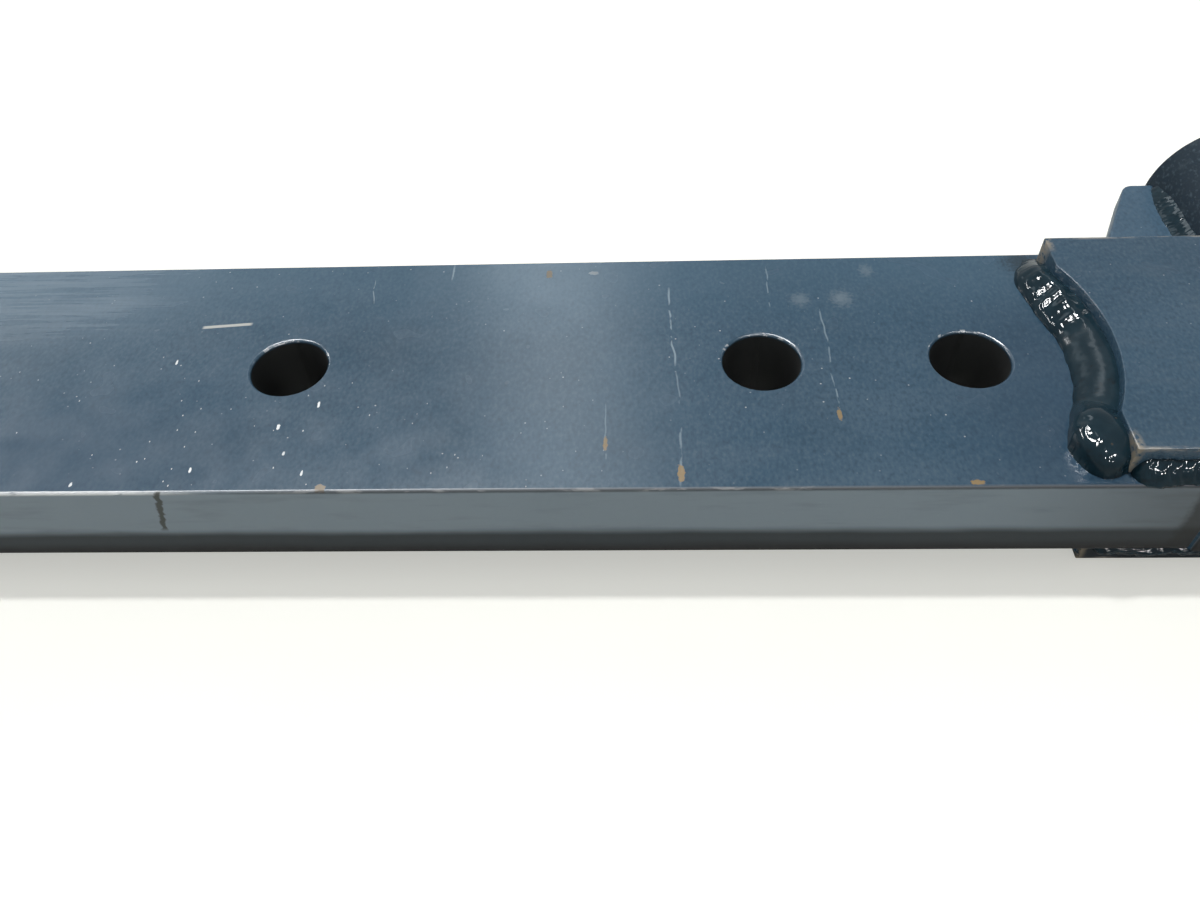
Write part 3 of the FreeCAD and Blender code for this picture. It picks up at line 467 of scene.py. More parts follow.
def barrel_finish():
    """The link's paint laid on thickly over the turned barrel and its plug, at about a quarter of
    its brightness as painted shade.
    """
    # Painted shade: the link's paint at about a quarter of its brightness
    finish = painted("barrel_paint", shade=0.26, roughness=0.40, peel=0.03, flecks=0.2, gloss=0.12)
    finish.coat((0.035, 0.055, 0.070), finish.noise(5.0, 4.0, shift=(2, 0, 5)).step(0.54, 0.75) * 0.5)
    return finish.done()


def forged_finish():
    """Paint over a forged skin, with soft dents, pits and patches where the paint wears thin."""
    finish = painted("forged_paint", peel=0.03, flecks=0.15)
    finish.emboss(finish.noise(9.0, 3.0, shift=(0, 0, 9)) * 0.35)
    finish.emboss(finish.grains(4.5).step(0.5, 0.1) * -0.05)
    worn_and_glinting = finish.noise(6.0, 4.0, shift=(4, 0, 2)).step(0.58, 0.82)
    finish.coat((0.13, 0.13, 0.125), worn_and_glinting * 0.30, roughness=0.45)
    return finish.done()


def weld_finish():
    """Thick glossy paint over weld metal, with darker patches and rusty pinholes. Its colour is
    much darker than the plates' paint, as painted shade. It is duller over the middle of the
    link's width."""
    # Painted shade: a base much darker than the plates' paint
    finish = Finish("weld_paint", (0.008, 0.024, 0.035), 0.10, IOR=1.45,
                    Specular_IOR_Level=0.19)
    tone = finish.noise(5.0, 2.0)
    finish.coat((0.017, 0.040, 0.055), tone.step(0.40, 0.75) * 0.7)
    finish.coat((0.008, 0.012, 0.016), finish.noise(3.0, 3.0, shift=(0, 3, 0)).step(0.58, 0.75) * 0.6)
    pins = finish.grains(4.0, shift=(1, 0, 0)).step(0.10, 0.04)
    finish.coat((0.10, 0.075, 0.05), pins * 0.5, roughness=0.6, height=-0.05)
    finish.emboss(finish.noise(2.2, 1.0) * 0.06)
    dull = finish.y.step(9.0, 3.0) * finish.y.step(-24.0, -18.0)
    finish.roughness = finish.noise(3.5, 2.0, shift=(8, 0, 0)) * 0.10 + dull * 0.14 + 0.03
    return finish.done()


def slide_finish():
    """The sliding bar: greased bright steel where it runs, and paint on what always stays out."""
    finish = Finish("rubbed_steel", (0.150, 0.147, 0.138), 0.52, IOR=1.5)
    along = finish.noise(0.9, 3.0, stretch=(30, 1, 1))
    finish.coat((0.092, 0.089, 0.082), along.step(0.42, 0.62) * 0.8, roughness=0.58)
    finish.metal = finish.noise(20.0, 2.0) * 0.1 + 0.80
    grease = finish.noise(12.0, 4.0, stretch=(2, 1, 1), shift=(6, 0, 0)).step(0.48, 0.62)
    finish.coat((0.040, 0.034, 0.024), grease * 0.6, roughness=0.42, metal=-0.6)
    out = finish.x.step(CHEEK_HIGH[0] - 3.0, CHEEK_HIGH[0] + 1.5)
    finish.coat(PAINT, out, roughness=0.34, metal=-1.0)
    finish.metal = finish.metal.most(0.0)
    finish.emboss(along * 0.03)
    return finish.done()


def ball_finish():
    """Turned and polished steel with fine rings from the lathe, and a film of oil."""
    finish = Finish("ball_steel", (0.52, 0.51, 0.49), 0.20, Metallic=1.0)
    rings = (finish.z * 7.0).math("SINE")
    finish.emboss(rings * 0.004)
    finish.coat((0.30, 0.27, 0.23), finish.noise(9.0, 4.0).step(0.52, 0.72) * 0.5, roughness=0.34)
    finish.coat((0.12, 0.08, 0.05), finish.noise(4.0, 4.0, shift=(2, 2, 2)).step(0.64, 0.74) * 0.6,
                roughness=0.55)
    finish.roughness = finish.noise(2.0, 2.0, stretch=(1, 1, 0.3)) * 0.10 + finish.roughness
    return finish.done()


def plated_finish():
    """Zinc plating on the plunger, the rod and the pin, dulled and handled."""
    finish = Finish("zinc_plate", (0.50, 0.50, 0.47), 0.30, Metallic=1.0)
    finish.coat((0.36, 0.35, 0.31), finish.noise(3.5, 4.0).step(0.45, 0.65) * 0.7, roughness=0.42)
    finish.coat((0.20, 0.17, 0.12), finish.noise(6.0, 3.0, shift=(1, 4, 0)).step(0.60, 0.72) * 0.5,
                roughness=0.5)
    finish.emboss(finish.noise(0.8, 2.0) * 0.008)
    return finish.done()


def spring_finish():
    """Oil-blackened spring wire."""
    finish = Finish("spring_wire", (0.06, 0.06, 0.062), 0.30, Metallic=1.0)
    finish.coat((0.22, 0.21, 0.20), finish.noise(2.0, 3.0).step(0.50, 0.66) * 0.6, roughness=0.26)
    finish.coat((0.11, 0.065, 0.03), finish.noise(3.0, 3.0, shift=(3, 0, 0)).step(0.62, 0.72) * 0.5,
                roughness=0.6)
    finish.emboss(finish.noise(0.5, 2.0) * 0.006)
    return finish.done()


def knob_finish():
    """Black moulded plastic, faintly mottled and scuffed."""
    finish = Finish("knob_plastic", (0.012, 0.012, 0.013), 0.26, IOR=1.5, Coat_Weight=0.25,
                    Coat_Roughness=0.1)
    finish.coat((0.045, 0.045, 0.046), finish.noise(1.2, 4.0).step(0.56, 0.74) * 0.6, roughness=0.45)
    finish.coat((0.09, 0.088, 0.084), finish.grains(2.4).step(0.10, 0.04) * 0.5, roughness=0.6)
    finish.emboss(finish.noise(0.6, 2.0) * 0.01)
    return finish.done()


BAR_PAINT = bar_finish()
SLEEVE_PAINT = sleeve_finish()
BARREL_PAINT = barrel_finish()
# Painted light: the gusset's paint a quarter lighter than the link's
GUSSET_PAINT = painted("gusset_paint", shade=1.25, roughness=0.36, flecks=0.6).done()
FORGED_PAINT = forged_finish()
WELD_PAINT = weld_finish()
RUBBED_STEEL = slide_finish()
BALL_STEEL = ball_finish()
ZINC = plated_finish()
SPRING_WIRE = spring_finish()
KNOB_PLASTIC = knob_finish()

NODE_FINISHES = {
    BAR_PAINT: ("main_bar",),
    SLEEVE_PAINT: ("cheek_plate_top", "cheek_plate_bottom", "latch_side_spacer",
                   "plain_side_spacer"),
    BARREL_PAINT: ("latch_barrel", "latch_plug"),
    GUSSET_PAINT: ("latch_gusset",),
    FORGED_PAINT: ("front_eye", "rear_eye"),
    RUBBED_STEEL: ("sliding_bar",),
    BALL_STEEL: ("front_ball", "rear_ball"),
    ZINC: ("latch_plunger", "latch_handle", "stop_pin"),
    SPRING_WIRE: ("latch_spring", "plug_ring"),
    KNOB_PLASTIC: ("handle_knob",),
}
for material, members in NODE_FINISHES.items():
    for member in members:
        nodes[member].data.materials.clear()
        nodes[member].data.materials.append(material)


# Broken edges

BREAK_WIDTH = 0.45
GUSSET_BREAK_WIDTH = 0.7
SHARP_TURN = math.radians(40)
LEAST_WALL_TURN = math.radians(1)
MOST_WALL_TURN = math.radians(14)
SMALL_FACE = 6 * MM ** 2


def softened(node, material, width=BREAK_WIDTH):
    """A copy of a machined piece with its edges broken. The loose triangles are merged and flat
    regions become whole faces; each sharp edge is cut back by the width in two steps. Only the
    walls of holes and hollows are shaded as round."""
    shape = bmesh.new()
    shape.from_mesh(nodes[node].data)
    shape.transform(nodes[node].matrix_world)
    bmesh.ops.remove_doubles(shape, verts=shape.verts, dist=0.005 * MM)
    bmesh.ops.dissolve_limit(shape, angle_limit=math.radians(0.5), verts=shape.verts,
                             edges=shape.edges)
    sharp = [e for e in shape.edges if e.is_manifold and e.calc_face_angle() > SHARP_TURN]
    bmesh.ops.bevel(shape, geom=sharp, offset=width * MM, offset_type="OFFSET", segments=2,
                    profile=0.5, affect="EDGES", clamp_overlap=True)
    # a wall is many faces that each turn a little, and a large face square to the axes is flat
    for face in shape.faces:
        turns = [e.calc_face_angle() for e in face.edges if e.is_manifold]
        square = max(abs(c) for c in face.normal) > 0.9999
        large = face.calc_area() > SMALL_FACE * len(face.verts)
        face.smooth = any(LEAST_WALL_TURN < turn < MOST_WALL_TURN for turn in turns) \
            and not (square and large)
    bmesh.ops.triangulate(shape, faces=shape.faces)
    shape.verts.index_update()
    mesh = bpy.data.meshes.new(node + "_broken_edges")
    mesh.from_pydata([tuple(v.co) for v in shape.verts], [],
                     [[v.index for v in face.verts] for face in shape.faces])
    mesh.polygons.foreach_set("use_smooth", [face.smooth for face in shape.faces])
    shape.free()
    mesh.materials.append(material)
    piece = bpy.data.objects.new(node + "_broken_edges", mesh)
    bpy.context.scene.collection.objects.link(piece)
    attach(piece, "link")
    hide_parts(node)


softened("main_bar", BAR_PAINT)
for member in NODE_FINISHES[SLEEVE_PAINT]:
    softened(member, SLEEVE_PAINT)
softened("latch_gusset", GUSSET_PAINT, GUSSET_BREAK_WIDTH)


# Weld beads

def solid(name, grids, body, replaced):
    """One mesh from several grids. A grid is (points, wraps): rows of rings, each ring closed on
    itself. Where a grid doesn't wrap from its last row to its first, flat caps close its ends.
    Faces that enclose a negative volume are turned round."""
    points, faces = [], []
    for grid, wraps in grids:
        rows, around = grid.shape[:2]
        start = sum(len(p) for p in points)
        row = np.arange(rows if wraps else rows - 1)
        here, along = np.meshgrid(row, np.arange(around), indexing="ij")
        after, beside = (here + 1) % rows, (along + 1) % around
        quads = np.stack([here * around + along, here * around + beside,
                          after * around + beside, after * around + along], axis=-1)
        quads = quads.reshape(-1, 4)
        caps = [] if wraps else [list(range(around))[::-1],
                                 list(range((rows - 1) * around, rows * around))]
        flat = grid.reshape(-1, 3)
        a, b, c, d = (flat[quads[:, n]] - flat.mean(axis=0) for n in range(4))
        volume = np.sum(a * np.cross(b, c)) + np.sum(a * np.cross(c, d))
        order = 1 if volume > 0 else -1
        points.append(flat)
        faces += [[start + corner for corner in face][::order] for face in quads.tolist() + caps]
    mesh = bpy.data.meshes.new(name)
    mesh.from_pydata((np.concatenate(points) * MM).tolist(), [], faces)
    mesh.shade_smooth()
    mesh.materials.append(WELD_PAINT)
    piece = bpy.data.objects.new(name, mesh)
    bpy.context.scene.collection.objects.link(piece)
    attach(piece, body)
    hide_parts(*replaced)


def distances(points):
    """How far along a line each of its points lies."""
    return np.concatenate([[0], np.cumsum(np.linalg.norm(np.diff(points, axis=0), axis=1))])


def wander(along, seed, scale=11.0):
    """A smooth random value between about -1 and 1 along a bead: a sum of three slow waves."""
    draw = np.random.default_rng(seed).uniform(0, TURN, 3)
    return (np.sin(along * TURN / scale + draw[0])
            + np.sin(along * TURN / (scale * 0.43) + draw[1]) * 0.6
            + np.sin(along * TURN / (scale * 0.19) + draw[2]) * 0.35) / 1.6


def scales(along, across, pitch, seed):
    """The ripple of a weld: rounded scales with sharp grooves, that bow forward in the middle.
    Across runs from -1 to 1 over the bead."""
    uneven = wander(along, seed, 17.0) * pitch * 0.35
    phase = (along + uneven + (1 - across ** 2) * pitch * 0.9) / pitch
    return np.abs(np.sin(phase * math.pi)) ** 0.8


def fillet(path, out, up, leg_out, leg_up, seed, fullness, pitch, ripple, steps=16):
    """A fillet bead along a path in a corner. Each section runs from a toe on one face to a toe on
    the other: its reach at an angle is a mix of the straight chamfer and the full round between
    the two legs. Scales ride on it, the legs swell and shrink a little along the way, and both
    ends are rounded off. The corner is sunk a little into both faces. The grid doesn't wrap."""
    sink = 0.25
    count = len(path)
    out, up = (np.broadcast_to(np.asarray(way, float), (count, 3)) for way in (out, up))
    leg_out = np.broadcast_to(np.asarray(leg_out, float), count).copy()
    leg_up = np.broadcast_to(np.asarray(leg_up, float), count).copy()
    run = distances(path)
    for distance in (run, run[-1] - run):
        share = np.clip((distance + 0.15) / (0.8 * np.minimum(leg_out, leg_up) + 1e-6), 0, 1)
        taper = np.sqrt(1 - (1 - share) ** 2)
        leg_out *= taper
        leg_up *= taper
    angle = np.linspace(0, math.pi / 2, steps)[None, :]
    chamfer = 1 / (np.cos(angle) / leg_out[:, None] + np.sin(angle) / leg_up[:, None])
    round_reach = 1 / np.sqrt((np.cos(angle) / leg_out[:, None]) ** 2
                              + (np.sin(angle) / leg_up[:, None]) ** 2)
    reach = chamfer * (1 - fullness) + round_reach * fullness
    across = angle / (math.pi / 4) - 1
    crest = np.sin(angle * 2)
    size = np.minimum(leg_out, leg_up)[:, None] / max(leg_out.max(), leg_up.max())
    bumps = (scales(run[:, None], across, pitch, seed) - 0.6) * ripple * size * (0.35 + 0.65 * crest)
    reach = reach * (1 + 0.05 * wander(run, seed + 1)[:, None]) + bumps
    corner = path - sink * (out + up)
    arc = corner[:, None] + (reach * np.cos(angle))[..., None] * out[:, None] \
        + (reach * np.sin(angle))[..., None] * up[:, None]
    return np.concatenate([arc, corner[:, None]], axis=1), False


def turned_over(grids, over):
    """The same grids for the other cheek: half a turn about the link's own line."""
    return [(g * (1, -1, -1), wraps) for g, wraps in grids] if over else grids


# The end weld's toe on the bar's face, from the near corner to the far one. It was measured in the
# photograph, in whose fitted frame the cheek starts at TOE_CHEEK_START
TOE_CHEEK_START = 575.5
TOE_Y = (-40.0, -37.8, -36.5, -34.2, -31.1, -26.6, -20.6, -15.9, -9.4,
         -2.7, 2.5, 7.9, 13.5, 19.3, 25.2, 29.5, 33.0, 36.5)
TOE_X = (573.5, 570.5, 567.6, 565.8, 565.0, 565.8, 568.0, 570.3, 572.0,
         573.0, 573.0, 572.1, 570.7, 569.2, 568.2, 568.2, 569.4, 572.0)
HOLLOW_HALF = 25.0
HOLLOW_DEPTH = 6.0
BEAD_HEIGHT = 6.6
DROP_HEIGHT = 7.3
DROP_AHEAD = 4.3
DROP_Y = -27.0
DROP_FRONT, DROP_BACK, DROP_LONG = 6.0, 8.4, 10.9


def end_weld_toe(y, run):
    """The toe's place along the bar: the measured line, smoothed by a bell-shaped window, with two
    slow waves on it."""
    toe = np.interp(y[:, 0], TOE_Y, np.array(TOE_X) - TOE_CHEEK_START + CHEEK_START)
    window = np.hanning(23)
    toe = np.convolve(np.pad(toe, 11, mode="edge"), window / window.sum(), mode="valid")[:, None]
    return toe + 0.16 * np.sin(run * 0.42 + 1.0) + 0.08 * np.sin(run * 1.1)


def cheek_front(y):
    """The cheek's front edge: a shallow arc in the middle, straight beside it, and set back past
    the near corner."""
    radius = (HOLLOW_HALF ** 2 + HOLLOW_DEPTH ** 2) / (2 * HOLLOW_DEPTH)
    arc = np.sqrt(radius ** 2 - np.minimum(np.abs(y), HOLLOW_HALF) ** 2) - (radius - HOLLOW_DEPTH)
    edge = CHEEK_START + np.where(np.abs(y) < HOLLOW_HALF, arc, 0.0)
    return edge + 4.0 * np.clip((-y - CHEEK_EDGE + 0.4) / 0.8, 0, 1)


def bead_height(y, run, inward):
    """The pass along the hollow: a convex rise from the toe to just under the plate's arris. It
    starts thin over the far edge and fades under the drop. Faint scales cross all of it, and
    ridges along it with knobs across them ride on its far third."""
    rise = 0.62 * np.sqrt(1 - (1 - inward) ** 2) + 0.38 * inward
    start = np.clip(run / 13.0, 0, 1)
    top = BEAD_HEIGHT * (0.12 + 0.88 * np.sin(start * math.pi / 2) ** 1.3)
    top = top + 0.20 * np.sin(run * 0.33)
    fade = 1 / (1 + np.exp((-y - 24.0) / 2.4))
    strong = 0.03 + 0.05 * np.exp(-((y - 20.0) / 11.0) ** 2)
    lines = (scales(run, inward * 2 - 1, 3.3, 7) - 0.6) * strong * np.sin(math.pi * inward) ** 0.5
    lean = inward * 3.6 + 0.30 * np.sin(run * 0.31)
    knobs = np.sin(run * 1.55 + inward * 5.5 + 0.9) * (0.70 + 0.30 * np.sin(run * 0.7 + 1))
    ridges = (0.32 * np.sin(lean * math.pi + 0.6) + 0.26 * knobs) \
        * np.exp(-((y - 17.0) / 10.0) ** 2) * np.sin(math.pi * inward) ** 0.4
    return (rise * top * (1 - 0.20 * inward ** 5) + lines + ridges) * fade


def drop_height(x, y):
    """The drop at the near corner: a dome over two half ellipses, full on its near side. Its far
    side runs out like a bell, because the dome's power grows there. A ring of six waves lies on
    it."""
    behind, aside = x - CHEEK_START + DROP_AHEAD, y - DROP_Y
    reach = np.where(behind > 0, DROP_BACK, DROP_FRONT)
    from_middle = np.sqrt((behind / reach) ** 2 + (aside / DROP_LONG) ** 2)
    dome = np.sqrt(np.clip(1 - from_middle ** 2, 0, None))
    ring = np.exp(-((from_middle - 0.62) / 0.16) ** 2)
    power = 0.50 + 2.6 * np.clip(aside / DROP_LONG + 0.10, 0, 1)
    return DROP_HEIGHT * dome ** power \
        + dome * ring * (0.22 + 0.22 * np.sin(np.arctan2(aside, behind) * 6))


def end_weld(side):
    """The weld in the hollow front edge of a cheek, as a height over the bar's face: the bead and
    the drop are joined by a smooth maximum, the logarithm of the sum of their exponentials."""
    rows, columns = 420, 64
    blend = 0.5
    y_start, y_end = CHEEK_EDGE + 0.9, -CHEEK_EDGE - 1.6
    y = np.linspace(y_start, y_end, rows)[:, None]
    run = y_start - y
    toe = end_weld_toe(y, run)
    edge = cheek_front(y)
    x = toe + (edge + 2.2 - toe) * np.linspace(0, 1, columns)[None, :] ** 1.25
    bead = bead_height(y, run, np.clip((x - toe) / (edge - toe), 0, 1))
    drop = drop_height(x, y)
    height = np.log(np.exp(bead * blend) + np.exp(drop * blend) - 1) / blend
    height = np.maximum(height, 0.0) - 0.2
    height[:, 0] = -0.35
    upper = np.stack([x, np.broadcast_to(y, x.shape), BAR_FACE + height], axis=-1)
    lower = upper[:, ::-1].copy()
    lower[..., 2] = BAR_FACE - 0.4
    grid = np.concatenate([upper, lower], axis=1)
    solid(f"end_weld_{side}", turned_over([(grid, False)], side == "bottom"), "link",
          [f"cheek_end_weld_{side}"])


def seam_welds(side):
    """Fillet beads on the ledges beside a cheek, broken where the barrel stands."""
    way = 1 if side == "top" else -1
    clear = BARREL_RADIUS + 6.0
    rear_end = CHEEK_HIGH[0] - 12.5
    grids = []
    for seed, sign, start, end in ((11, -way, CHEEK_START + 1.2, rear_end),
                                   (12, way, CHEEK_START + 1.5, LATCH - clear),
                                   (13, way, LATCH + clear, rear_end)):
        x = np.linspace(start, end, int((end - start) / 0.35))
        path = np.stack([x, np.full_like(x, sign * CHEEK_EDGE), np.full_like(x, BAR_FACE)], axis=1)
        reach = 3.9 + 0.45 * wander(x, seed + 40, 23.0)
        grids.append(fillet(path, (0, sign, 0), (0, 0, 1), reach, 4.9, seed + way,
                            fullness=0.7, pitch=2.9, ripple=0.55, steps=12))
    solid(f"seam_welds_{side}", [(g * (1, 1, way), w) for g, w in grids], "link",
          [f"cheek_seam_welds_{side}"])


def barrel_weld():
    """Two fillet beads round the barrel's foot. Over the ledges beside the cheeks the foot drops
    to the spacer's level, and the bead narrows to nothing at the cheeks' faces."""
    half_turn, leg_out, leg_up = 1.25, 5.6, 5.4
    grids = []
    for seed, facing in ((21, -1), (22, 1)):
        angle = np.linspace(-half_turn, half_turn, 230)
        x, z = facing * np.cos(angle), np.sin(angle)
        over_ledge = 1 / (1 + np.exp(-(np.abs(z) * BARREL_RADIUS - BAR_FACE - 1.2) / 0.5))
        root = BAR_EDGE - (BAR_EDGE - CHEEK_EDGE) * over_ledge
        path = np.stack([LATCH + BARREL_RADIUS * x, root, BARREL_RADIUS * z], axis=1)
        room = (CHEEK_FACE + 0.15 - BARREL_RADIUS * np.abs(z)) / np.maximum(np.abs(z), 1e-3)
        out = np.stack([x, np.zeros_like(x), z], axis=1)
        grids.append(fillet(path, out, (0, 1, 0), np.clip(room, 0.3, leg_out),
                            BAR_EDGE + leg_up - root, seed, fullness=0.5, pitch=3.0, ripple=0.42))
    solid("barrel_weld", grids, "link", ["latch_barrel_weld"])


def gusset_welds():
    """Fillet beads up the barrel and along the foot, on both faces of the gusset."""
    face, leg = GUSSET_HIGH[2], 3.6
    up_grids, foot_grids = [], []
    for seed, sign in ((31, 1), (33, -1)):
        y = np.linspace(BAR_EDGE + 2.0, GUSSET_HIGH[1] - 1.5, 120)
        touch = LATCH - math.sqrt(BARREL_RADIUS ** 2 - face ** 2)
        path = np.stack([np.full_like(y, touch), y, np.full_like(y, sign * face)], axis=1)
        higher = LATCH - math.sqrt(BARREL_RADIUS ** 2 - (face + leg) ** 2)
        wall = np.array([higher - touch, 0, sign * leg])
        slim = leg * (0.35 + 0.65 * np.clip((GUSSET_HIGH[1] - y) / 12.0, 0, 1))
        up_grids.append(fillet(path, (-1, 0, 0), wall / np.linalg.norm(wall), slim, slim, seed,
                               fullness=0.35, pitch=2.3, ripple=0.14))
        x = np.linspace(GUSSET_LOW[0] + 0.5, LATCH - BARREL_RADIUS - 1.0, 80)
        path = np.stack([x, np.full_like(x, BAR_EDGE), np.full_like(x, sign * face)], axis=1)
        foot_grids.append(fillet(path, (0, 0, sign), (0, 1, 0), leg, leg, seed + 1,
                                 fullness=0.5, pitch=2.8, ripple=0.35))
    solid("gusset_barrel_beads", up_grids, "link", ["gusset_barrel_weld"])
    solid("gusset_foot_beads", foot_grids, "link", ["gusset_foot_weld"])


def rounded_rectangle(wide, deep, corner):
    """Points of a rectangle with rounded corners, and the way that each of them faces."""
    arc = np.linspace(0, math.pi / 2, 10)
    outline, facing = [], []
    for quarter, (sign_y, sign_z) in enumerate(((1, 1), (-1, 1), (-1, -1), (1, -1))):
        turn = arc + quarter * math.pi / 2
        direction = np.stack([np.cos(turn), np.sin(turn)], axis=1)
        centre = np.array([sign_y * (wide - corner), sign_z * (deep - corner)])
        outline.append(centre + direction * corner)
        facing.append(direction)
    return np.concatenate(outline), np.concatenate(facing)


def butt_weld(name, node, body):
    """A band all the way round a butt joint. It follows a rectangle with rounded corners, and over
    its width it stands up as a flat half ellipse with uneven scales across it."""
    low, high = limits(node)
    proud, spacing, pitch = 1.8, 0.4, 3.2
    middle, half_width = (low[0] + high[0]) / 2, (high[0] - low[0]) / 2
    outline, facing = rounded_rectangle(high[1] - proud, high[2] - proud, 2.0)
    closed = np.concatenate([outline, outline[:1]])
    closed_facing = np.concatenate([facing, facing[:1]])
    run = distances(closed)
    places = np.linspace(0, run[-1], int(run[-1] / spacing), endpoint=False)
    ring = np.stack([np.interp(places, run, closed[:, n]) for n in range(2)], axis=1)
    normal = np.stack([np.interp(places, run, closed_facing[:, n]) for n in range(2)], axis=1)
    across = np.linspace(-1, 1, 26)[None]
    lap = places[:, None] / run[-1] * TURN
    uneven = 0.30 * np.sin(lap * 3 + 1.0) + 0.22 * np.sin(lap * 8) + 0.12 * np.sin(lap * 17 + 2.0)
    phase = lap / TURN * round(run[-1] / pitch) + uneven + (1 - across ** 2) * 0.8
    scale = np.abs(np.sin(phase * math.pi)) ** 0.8
    edge = 1 + 0.05 * np.sin(lap * 9) + 0.04 * np.sin(lap * 23)
    height = (proud - 0.45) * (1 - across ** 2) ** 0.55 \
        + (0.27 + 0.13 * np.sin(lap * 5 + 0.5)) * scale * np.sqrt(1 - across ** 2) - 0.05
    x = middle + across * (half_width - 0.5) * edge
    skin, inner = (np.stack([x, *(ring[:, None, n] + normal[:, None, n] * reach for n in range(2))],
                            axis=-1) for reach in (height, np.full_like(x, -0.5)))
    solid(name, [(np.concatenate([skin, inner[:, ::-1]], axis=1), True)], body, [node])


def pin_welds():
    """A button over each end of the stop pin: a low dome with a spiral of scales. Two more rings
    close it under the cheek's face."""
    low, high = limits("stop_pin_welds")
    radius = (high[0] - low[0]) / 2
    grids = []
    for sign, top in ((1, high[2]), (-1, -low[2])):
        share = np.linspace(0.02, 1, 40)[:, None]
        angle = np.linspace(0, TURN, 120, endpoint=False)[None, :]
        edge = radius * (1 - 0.03 - 0.03 * np.sin(3 * angle + 1) * share)
        spiral = np.abs(np.sin((share * 3.2 + angle / TURN) * math.pi)) ** 0.8
        height = (top - CHEEK_FACE - 0.35) * (1 - share ** 2.4) ** 0.6 \
            + 0.30 * spiral * (1 - share ** 4) - 0.1 * share
        rings = np.stack([STOP_PIN + edge * share * np.cos(angle),
                          edge * share * np.sin(angle), sign * (CHEEK_FACE + height)], axis=-1)
        under = rings[-1:].copy()
        under[..., 2] = sign * (CHEEK_FACE - 0.4)
        centre = under.copy()
        centre[..., 0] = STOP_PIN + (centre[..., 0] - STOP_PIN) * 0.02
        centre[..., 1] *= 0.02
        grids.append((np.concatenate([rings, under, centre]), False))
    solid("pin_buttons", grids, "link", ["stop_pin_welds"])


for side in ("top", "bottom"):
    end_weld(side)
    seam_welds(side)
barrel_weld()
gusset_welds()
butt_weld("front_butt_weld", "front_eye_weld", "link")
butt_weld("rear_butt_weld", "rear_eye_weld", "telescopic_end")
pin_welds()


# Floor, light and camera, in metres

FLOOR_HALF = 12.0
FLOOR_GAP = 0.00005
PLAIN_LIGHT = 0.42
GLOSS_LIGHT = 0.20

# The photograph's camera, fitted to the edges and holes that it shows: degrees, and millimetres of
# lens and sensor
PITCH, YAW, ROLL = 49.219, -3.904, -3.461
CAMERA_PLACE = (0.47069, -0.17287, 0.18023)
LENS, SENSOR = 29.1, 36.0

LINK_MIDDLE = (0.45, 0, 0)
# Small lamps that show as glints only: place, width and power
GLINT_AIM = (0.57, 0, 0)
GLINTS = (
    ((-1.25, 1.0, 0.75), 0.20, 6.5),
    ((-1.10, 1.05, 0.98), 0.14, 3.5),
    ((-1.45, 0.75, 0.90), 0.18, 6.0),
    ((2.15, 1.10, 1.35), 0.12, 4.0),
    ((-0.60, 0.0, 1.6), 0.26, 26.0),
    ((0.0, 0.10, 1.6), 0.26, 26.0),
    ((0.30, 0.15, 1.7), 0.22, 20.0),
    ((-0.15, 0.45, 1.7), 0.28, 28.0),
    ((0.10, 0.60, 1.6), 0.24, 18.0),
    ((-0.70, 0.45, 1.5), 0.20, 14.0),
    ((1.15, -0.85, 1.3), 0.12, 9.0),
    ((0.85, -1.10, 1.4), 0.12, 9.0),
    ((0.45, -0.75, 1.7), 0.12, 9.0),
    ((1.50, -0.60, 1.3), 0.12, 9.0),
    ((0.20, -1.20, 1.4), 0.12, 9.0),
    ((0.70, -1.60, 1.1), 0.12, 9.0),
    ((1.30, -1.40, 1.0), 0.12, 9.0),
)


def floor():
    """A wide pale sheet. Seen straight on it shows white where the light reaches it."""
    mesh = bpy.data.meshes.new("floor")
    level = FLOOR_LEVEL - FLOOR_GAP
    corners = [(-1, -1), (1, -1), (1, 1), (-1, 1)]
    mesh.from_pydata([(x * FLOOR_HALF, y * FLOOR_HALF, level) for x, y in corners], [],
                     [(0, 1, 2, 3)])
    sheet = bpy.data.objects.new("floor", mesh)
    bpy.context.scene.collection.objects.link(sheet)
    finish = Finish("floor_paper", (0.70, 0.70, 0.66), 0.9, Specular_IOR_Level=0.0)
    finish.coat((0.66, 0.66, 0.62), finish.noise(60.0, 4.0).step(0.45, 0.7) * 0.25)
    finish.done()
    # the glow reaches the camera only, straight or through glass
    lit = finish.add("Emission", in_0=(1.0, 1.0, 0.94, 1.0), in_1=0.45)
    seen = finish.add("LightPath")
    through = Wire(finish, seen.socket.node.outputs["Is Transmission Ray"])
    dark = finish.add("Emission", in_1=0.0)
    shown = finish.add("MixShader", in_0=(seen + through).least(1.0), in_1=dark, in_2=lit)
    both = finish.add("AddShader", in_0=Wire(finish, finish.shader.outputs[0]), in_1=shown)
    finish.feed(finish.output.inputs[0], both)
    mesh.materials.append(finish.material)


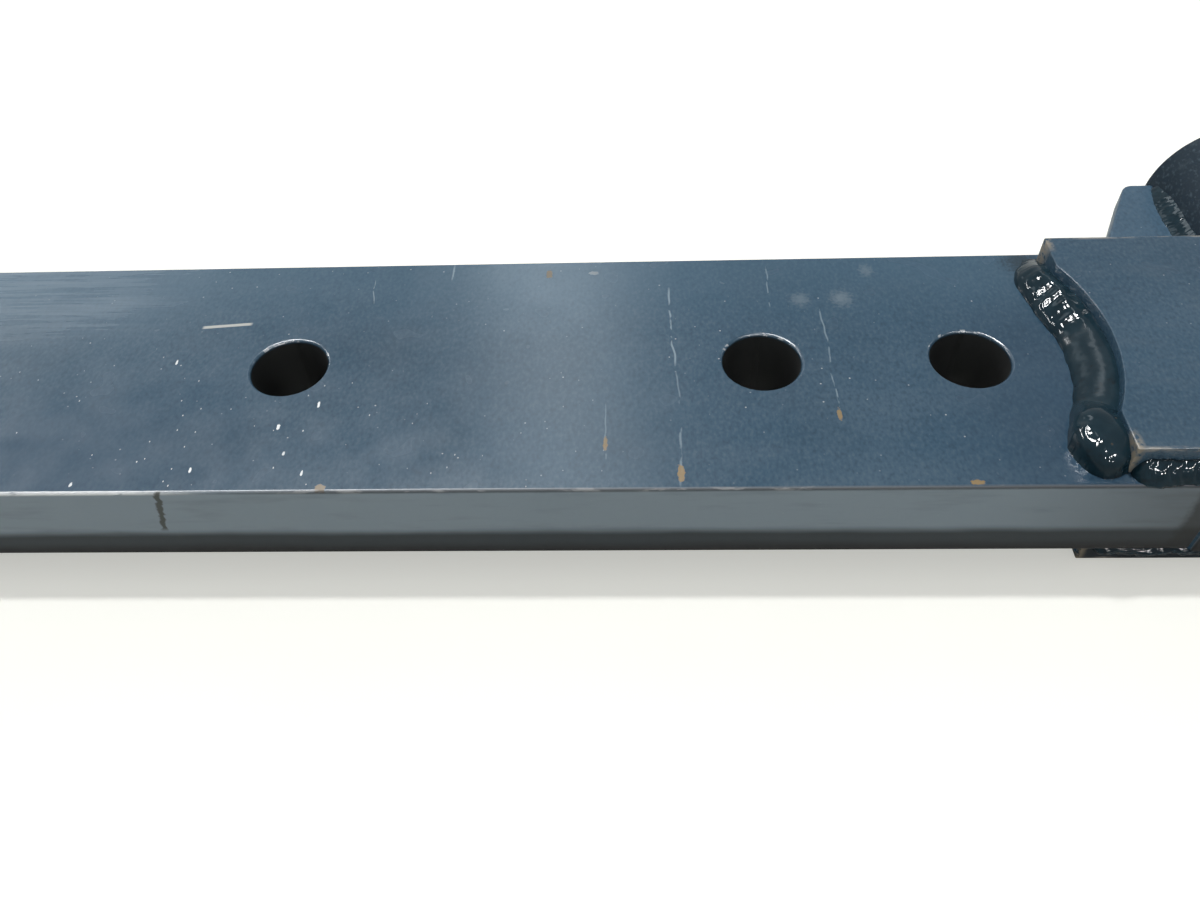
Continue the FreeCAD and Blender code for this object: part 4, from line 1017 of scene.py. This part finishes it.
def world():
    """White where it is seen straight on, greyer in gloss, and a plain level of light elsewhere."""
    sky = bpy.data.worlds.new("studio")
    bpy.context.scene.world = sky
    sky.use_nodes = True
    tree = sky.node_tree
    tree.nodes.clear()
    output = tree.nodes.new("ShaderNodeOutputWorld")
    path = tree.nodes.new("ShaderNodeLightPath")
    seen, level = (tree.nodes.new("ShaderNodeMath") for _ in range(2))
    seen.operation = "MAXIMUM"
    tree.links.new(path.outputs["Is Camera Ray"], seen.inputs[0])
    tree.links.new(path.outputs["Is Transmission Ray"], seen.inputs[1])
    level.operation = "MULTIPLY_ADD"
    tree.links.new(path.outputs["Is Glossy Ray"], level.inputs[0])
    level.inputs[1].default_value = GLOSS_LIGHT
    level.inputs[2].default_value = PLAIN_LIGHT
    light, white = (tree.nodes.new("ShaderNodeBackground") for _ in range(2))
    tree.links.new(level.outputs[0], light.inputs[1])
    white.inputs[1].default_value = 1.0
    for shade in (light, white):
        shade.inputs[0].default_value = (1.0, 1.0, 1.0, 1.0)
    mix = tree.nodes.new("ShaderNodeMixShader")
    tree.links.new(seen.outputs[0], mix.inputs[0])
    tree.links.new(light.outputs[0], mix.inputs[1])
    tree.links.new(white.outputs[0], mix.inputs[2])
    tree.links.new(mix.outputs[0], output.inputs[0])


def lamp(name, place, aim, size, watts, colour=(1.0, 1.0, 1.0)):
    """A rectangular lamp that faces a point."""
    light = bpy.data.lights.new(name, "AREA")
    light.shape = "RECTANGLE"
    light.size, light.size_y = size
    light.energy = watts
    light.color = colour
    piece = bpy.data.objects.new(name, light)
    bpy.context.scene.collection.objects.link(piece)
    piece.location = place
    piece.rotation_euler = (Vector(aim) - Vector(place)).to_track_quat("-Z", "Y").to_euler()
    return piece


def camera():
    """The photograph's own view, from above the near side of the bar."""
    pitch, yaw, roll = (math.radians(a) for a in (PITCH, YAW, ROLL))
    forward = Vector((math.sin(yaw) * math.cos(pitch), math.cos(yaw) * math.cos(pitch),
                      -math.sin(pitch)))
    level = Vector((math.cos(yaw), -math.sin(yaw), 0))
    up = level.cross(forward)
    right = math.cos(roll) * level + math.sin(roll) * up
    above = -math.sin(roll) * level + math.cos(roll) * up
    lens = bpy.data.cameras.new("camera")
    lens.sensor_width, lens.sensor_fit, lens.lens = SENSOR, "HORIZONTAL", LENS
    lens.clip_start, lens.clip_end = 0.01, 20.0
    eye = bpy.data.objects.new("camera", lens)
    bpy.context.scene.collection.objects.link(eye)
    eye.matrix_world = Matrix.Translation(CAMERA_PLACE) \
        @ Matrix((right, above, -forward)).transposed().to_4x4()
    bpy.context.scene.camera = eye


floor()
world()
lamp("ceiling", (0.45, 0.30, 2.0), LINK_MIDDLE, (0.12, 0.10), watts=20.0)
lamp("window_band", (0.27, 1.53, 1.50), LINK_MIDDLE, (0.30, 1.0), watts=4.6,
     colour=(0.86, 0.95, 1.0))
lamp("far_window", (-1.35, 2.3, 1.45), (0.3, 0, 0), (1.0, 0.7), watts=5.5,
     colour=(0.80, 0.93, 1.0))
for place, size, watts in GLINTS:
    bulb = lamp("bulb", place, GLINT_AIM, (size, size * 0.6), watts)
    bulb.visible_diffuse = False
camera()
bpy.context.scene.view_settings.view_transform = "Standard"
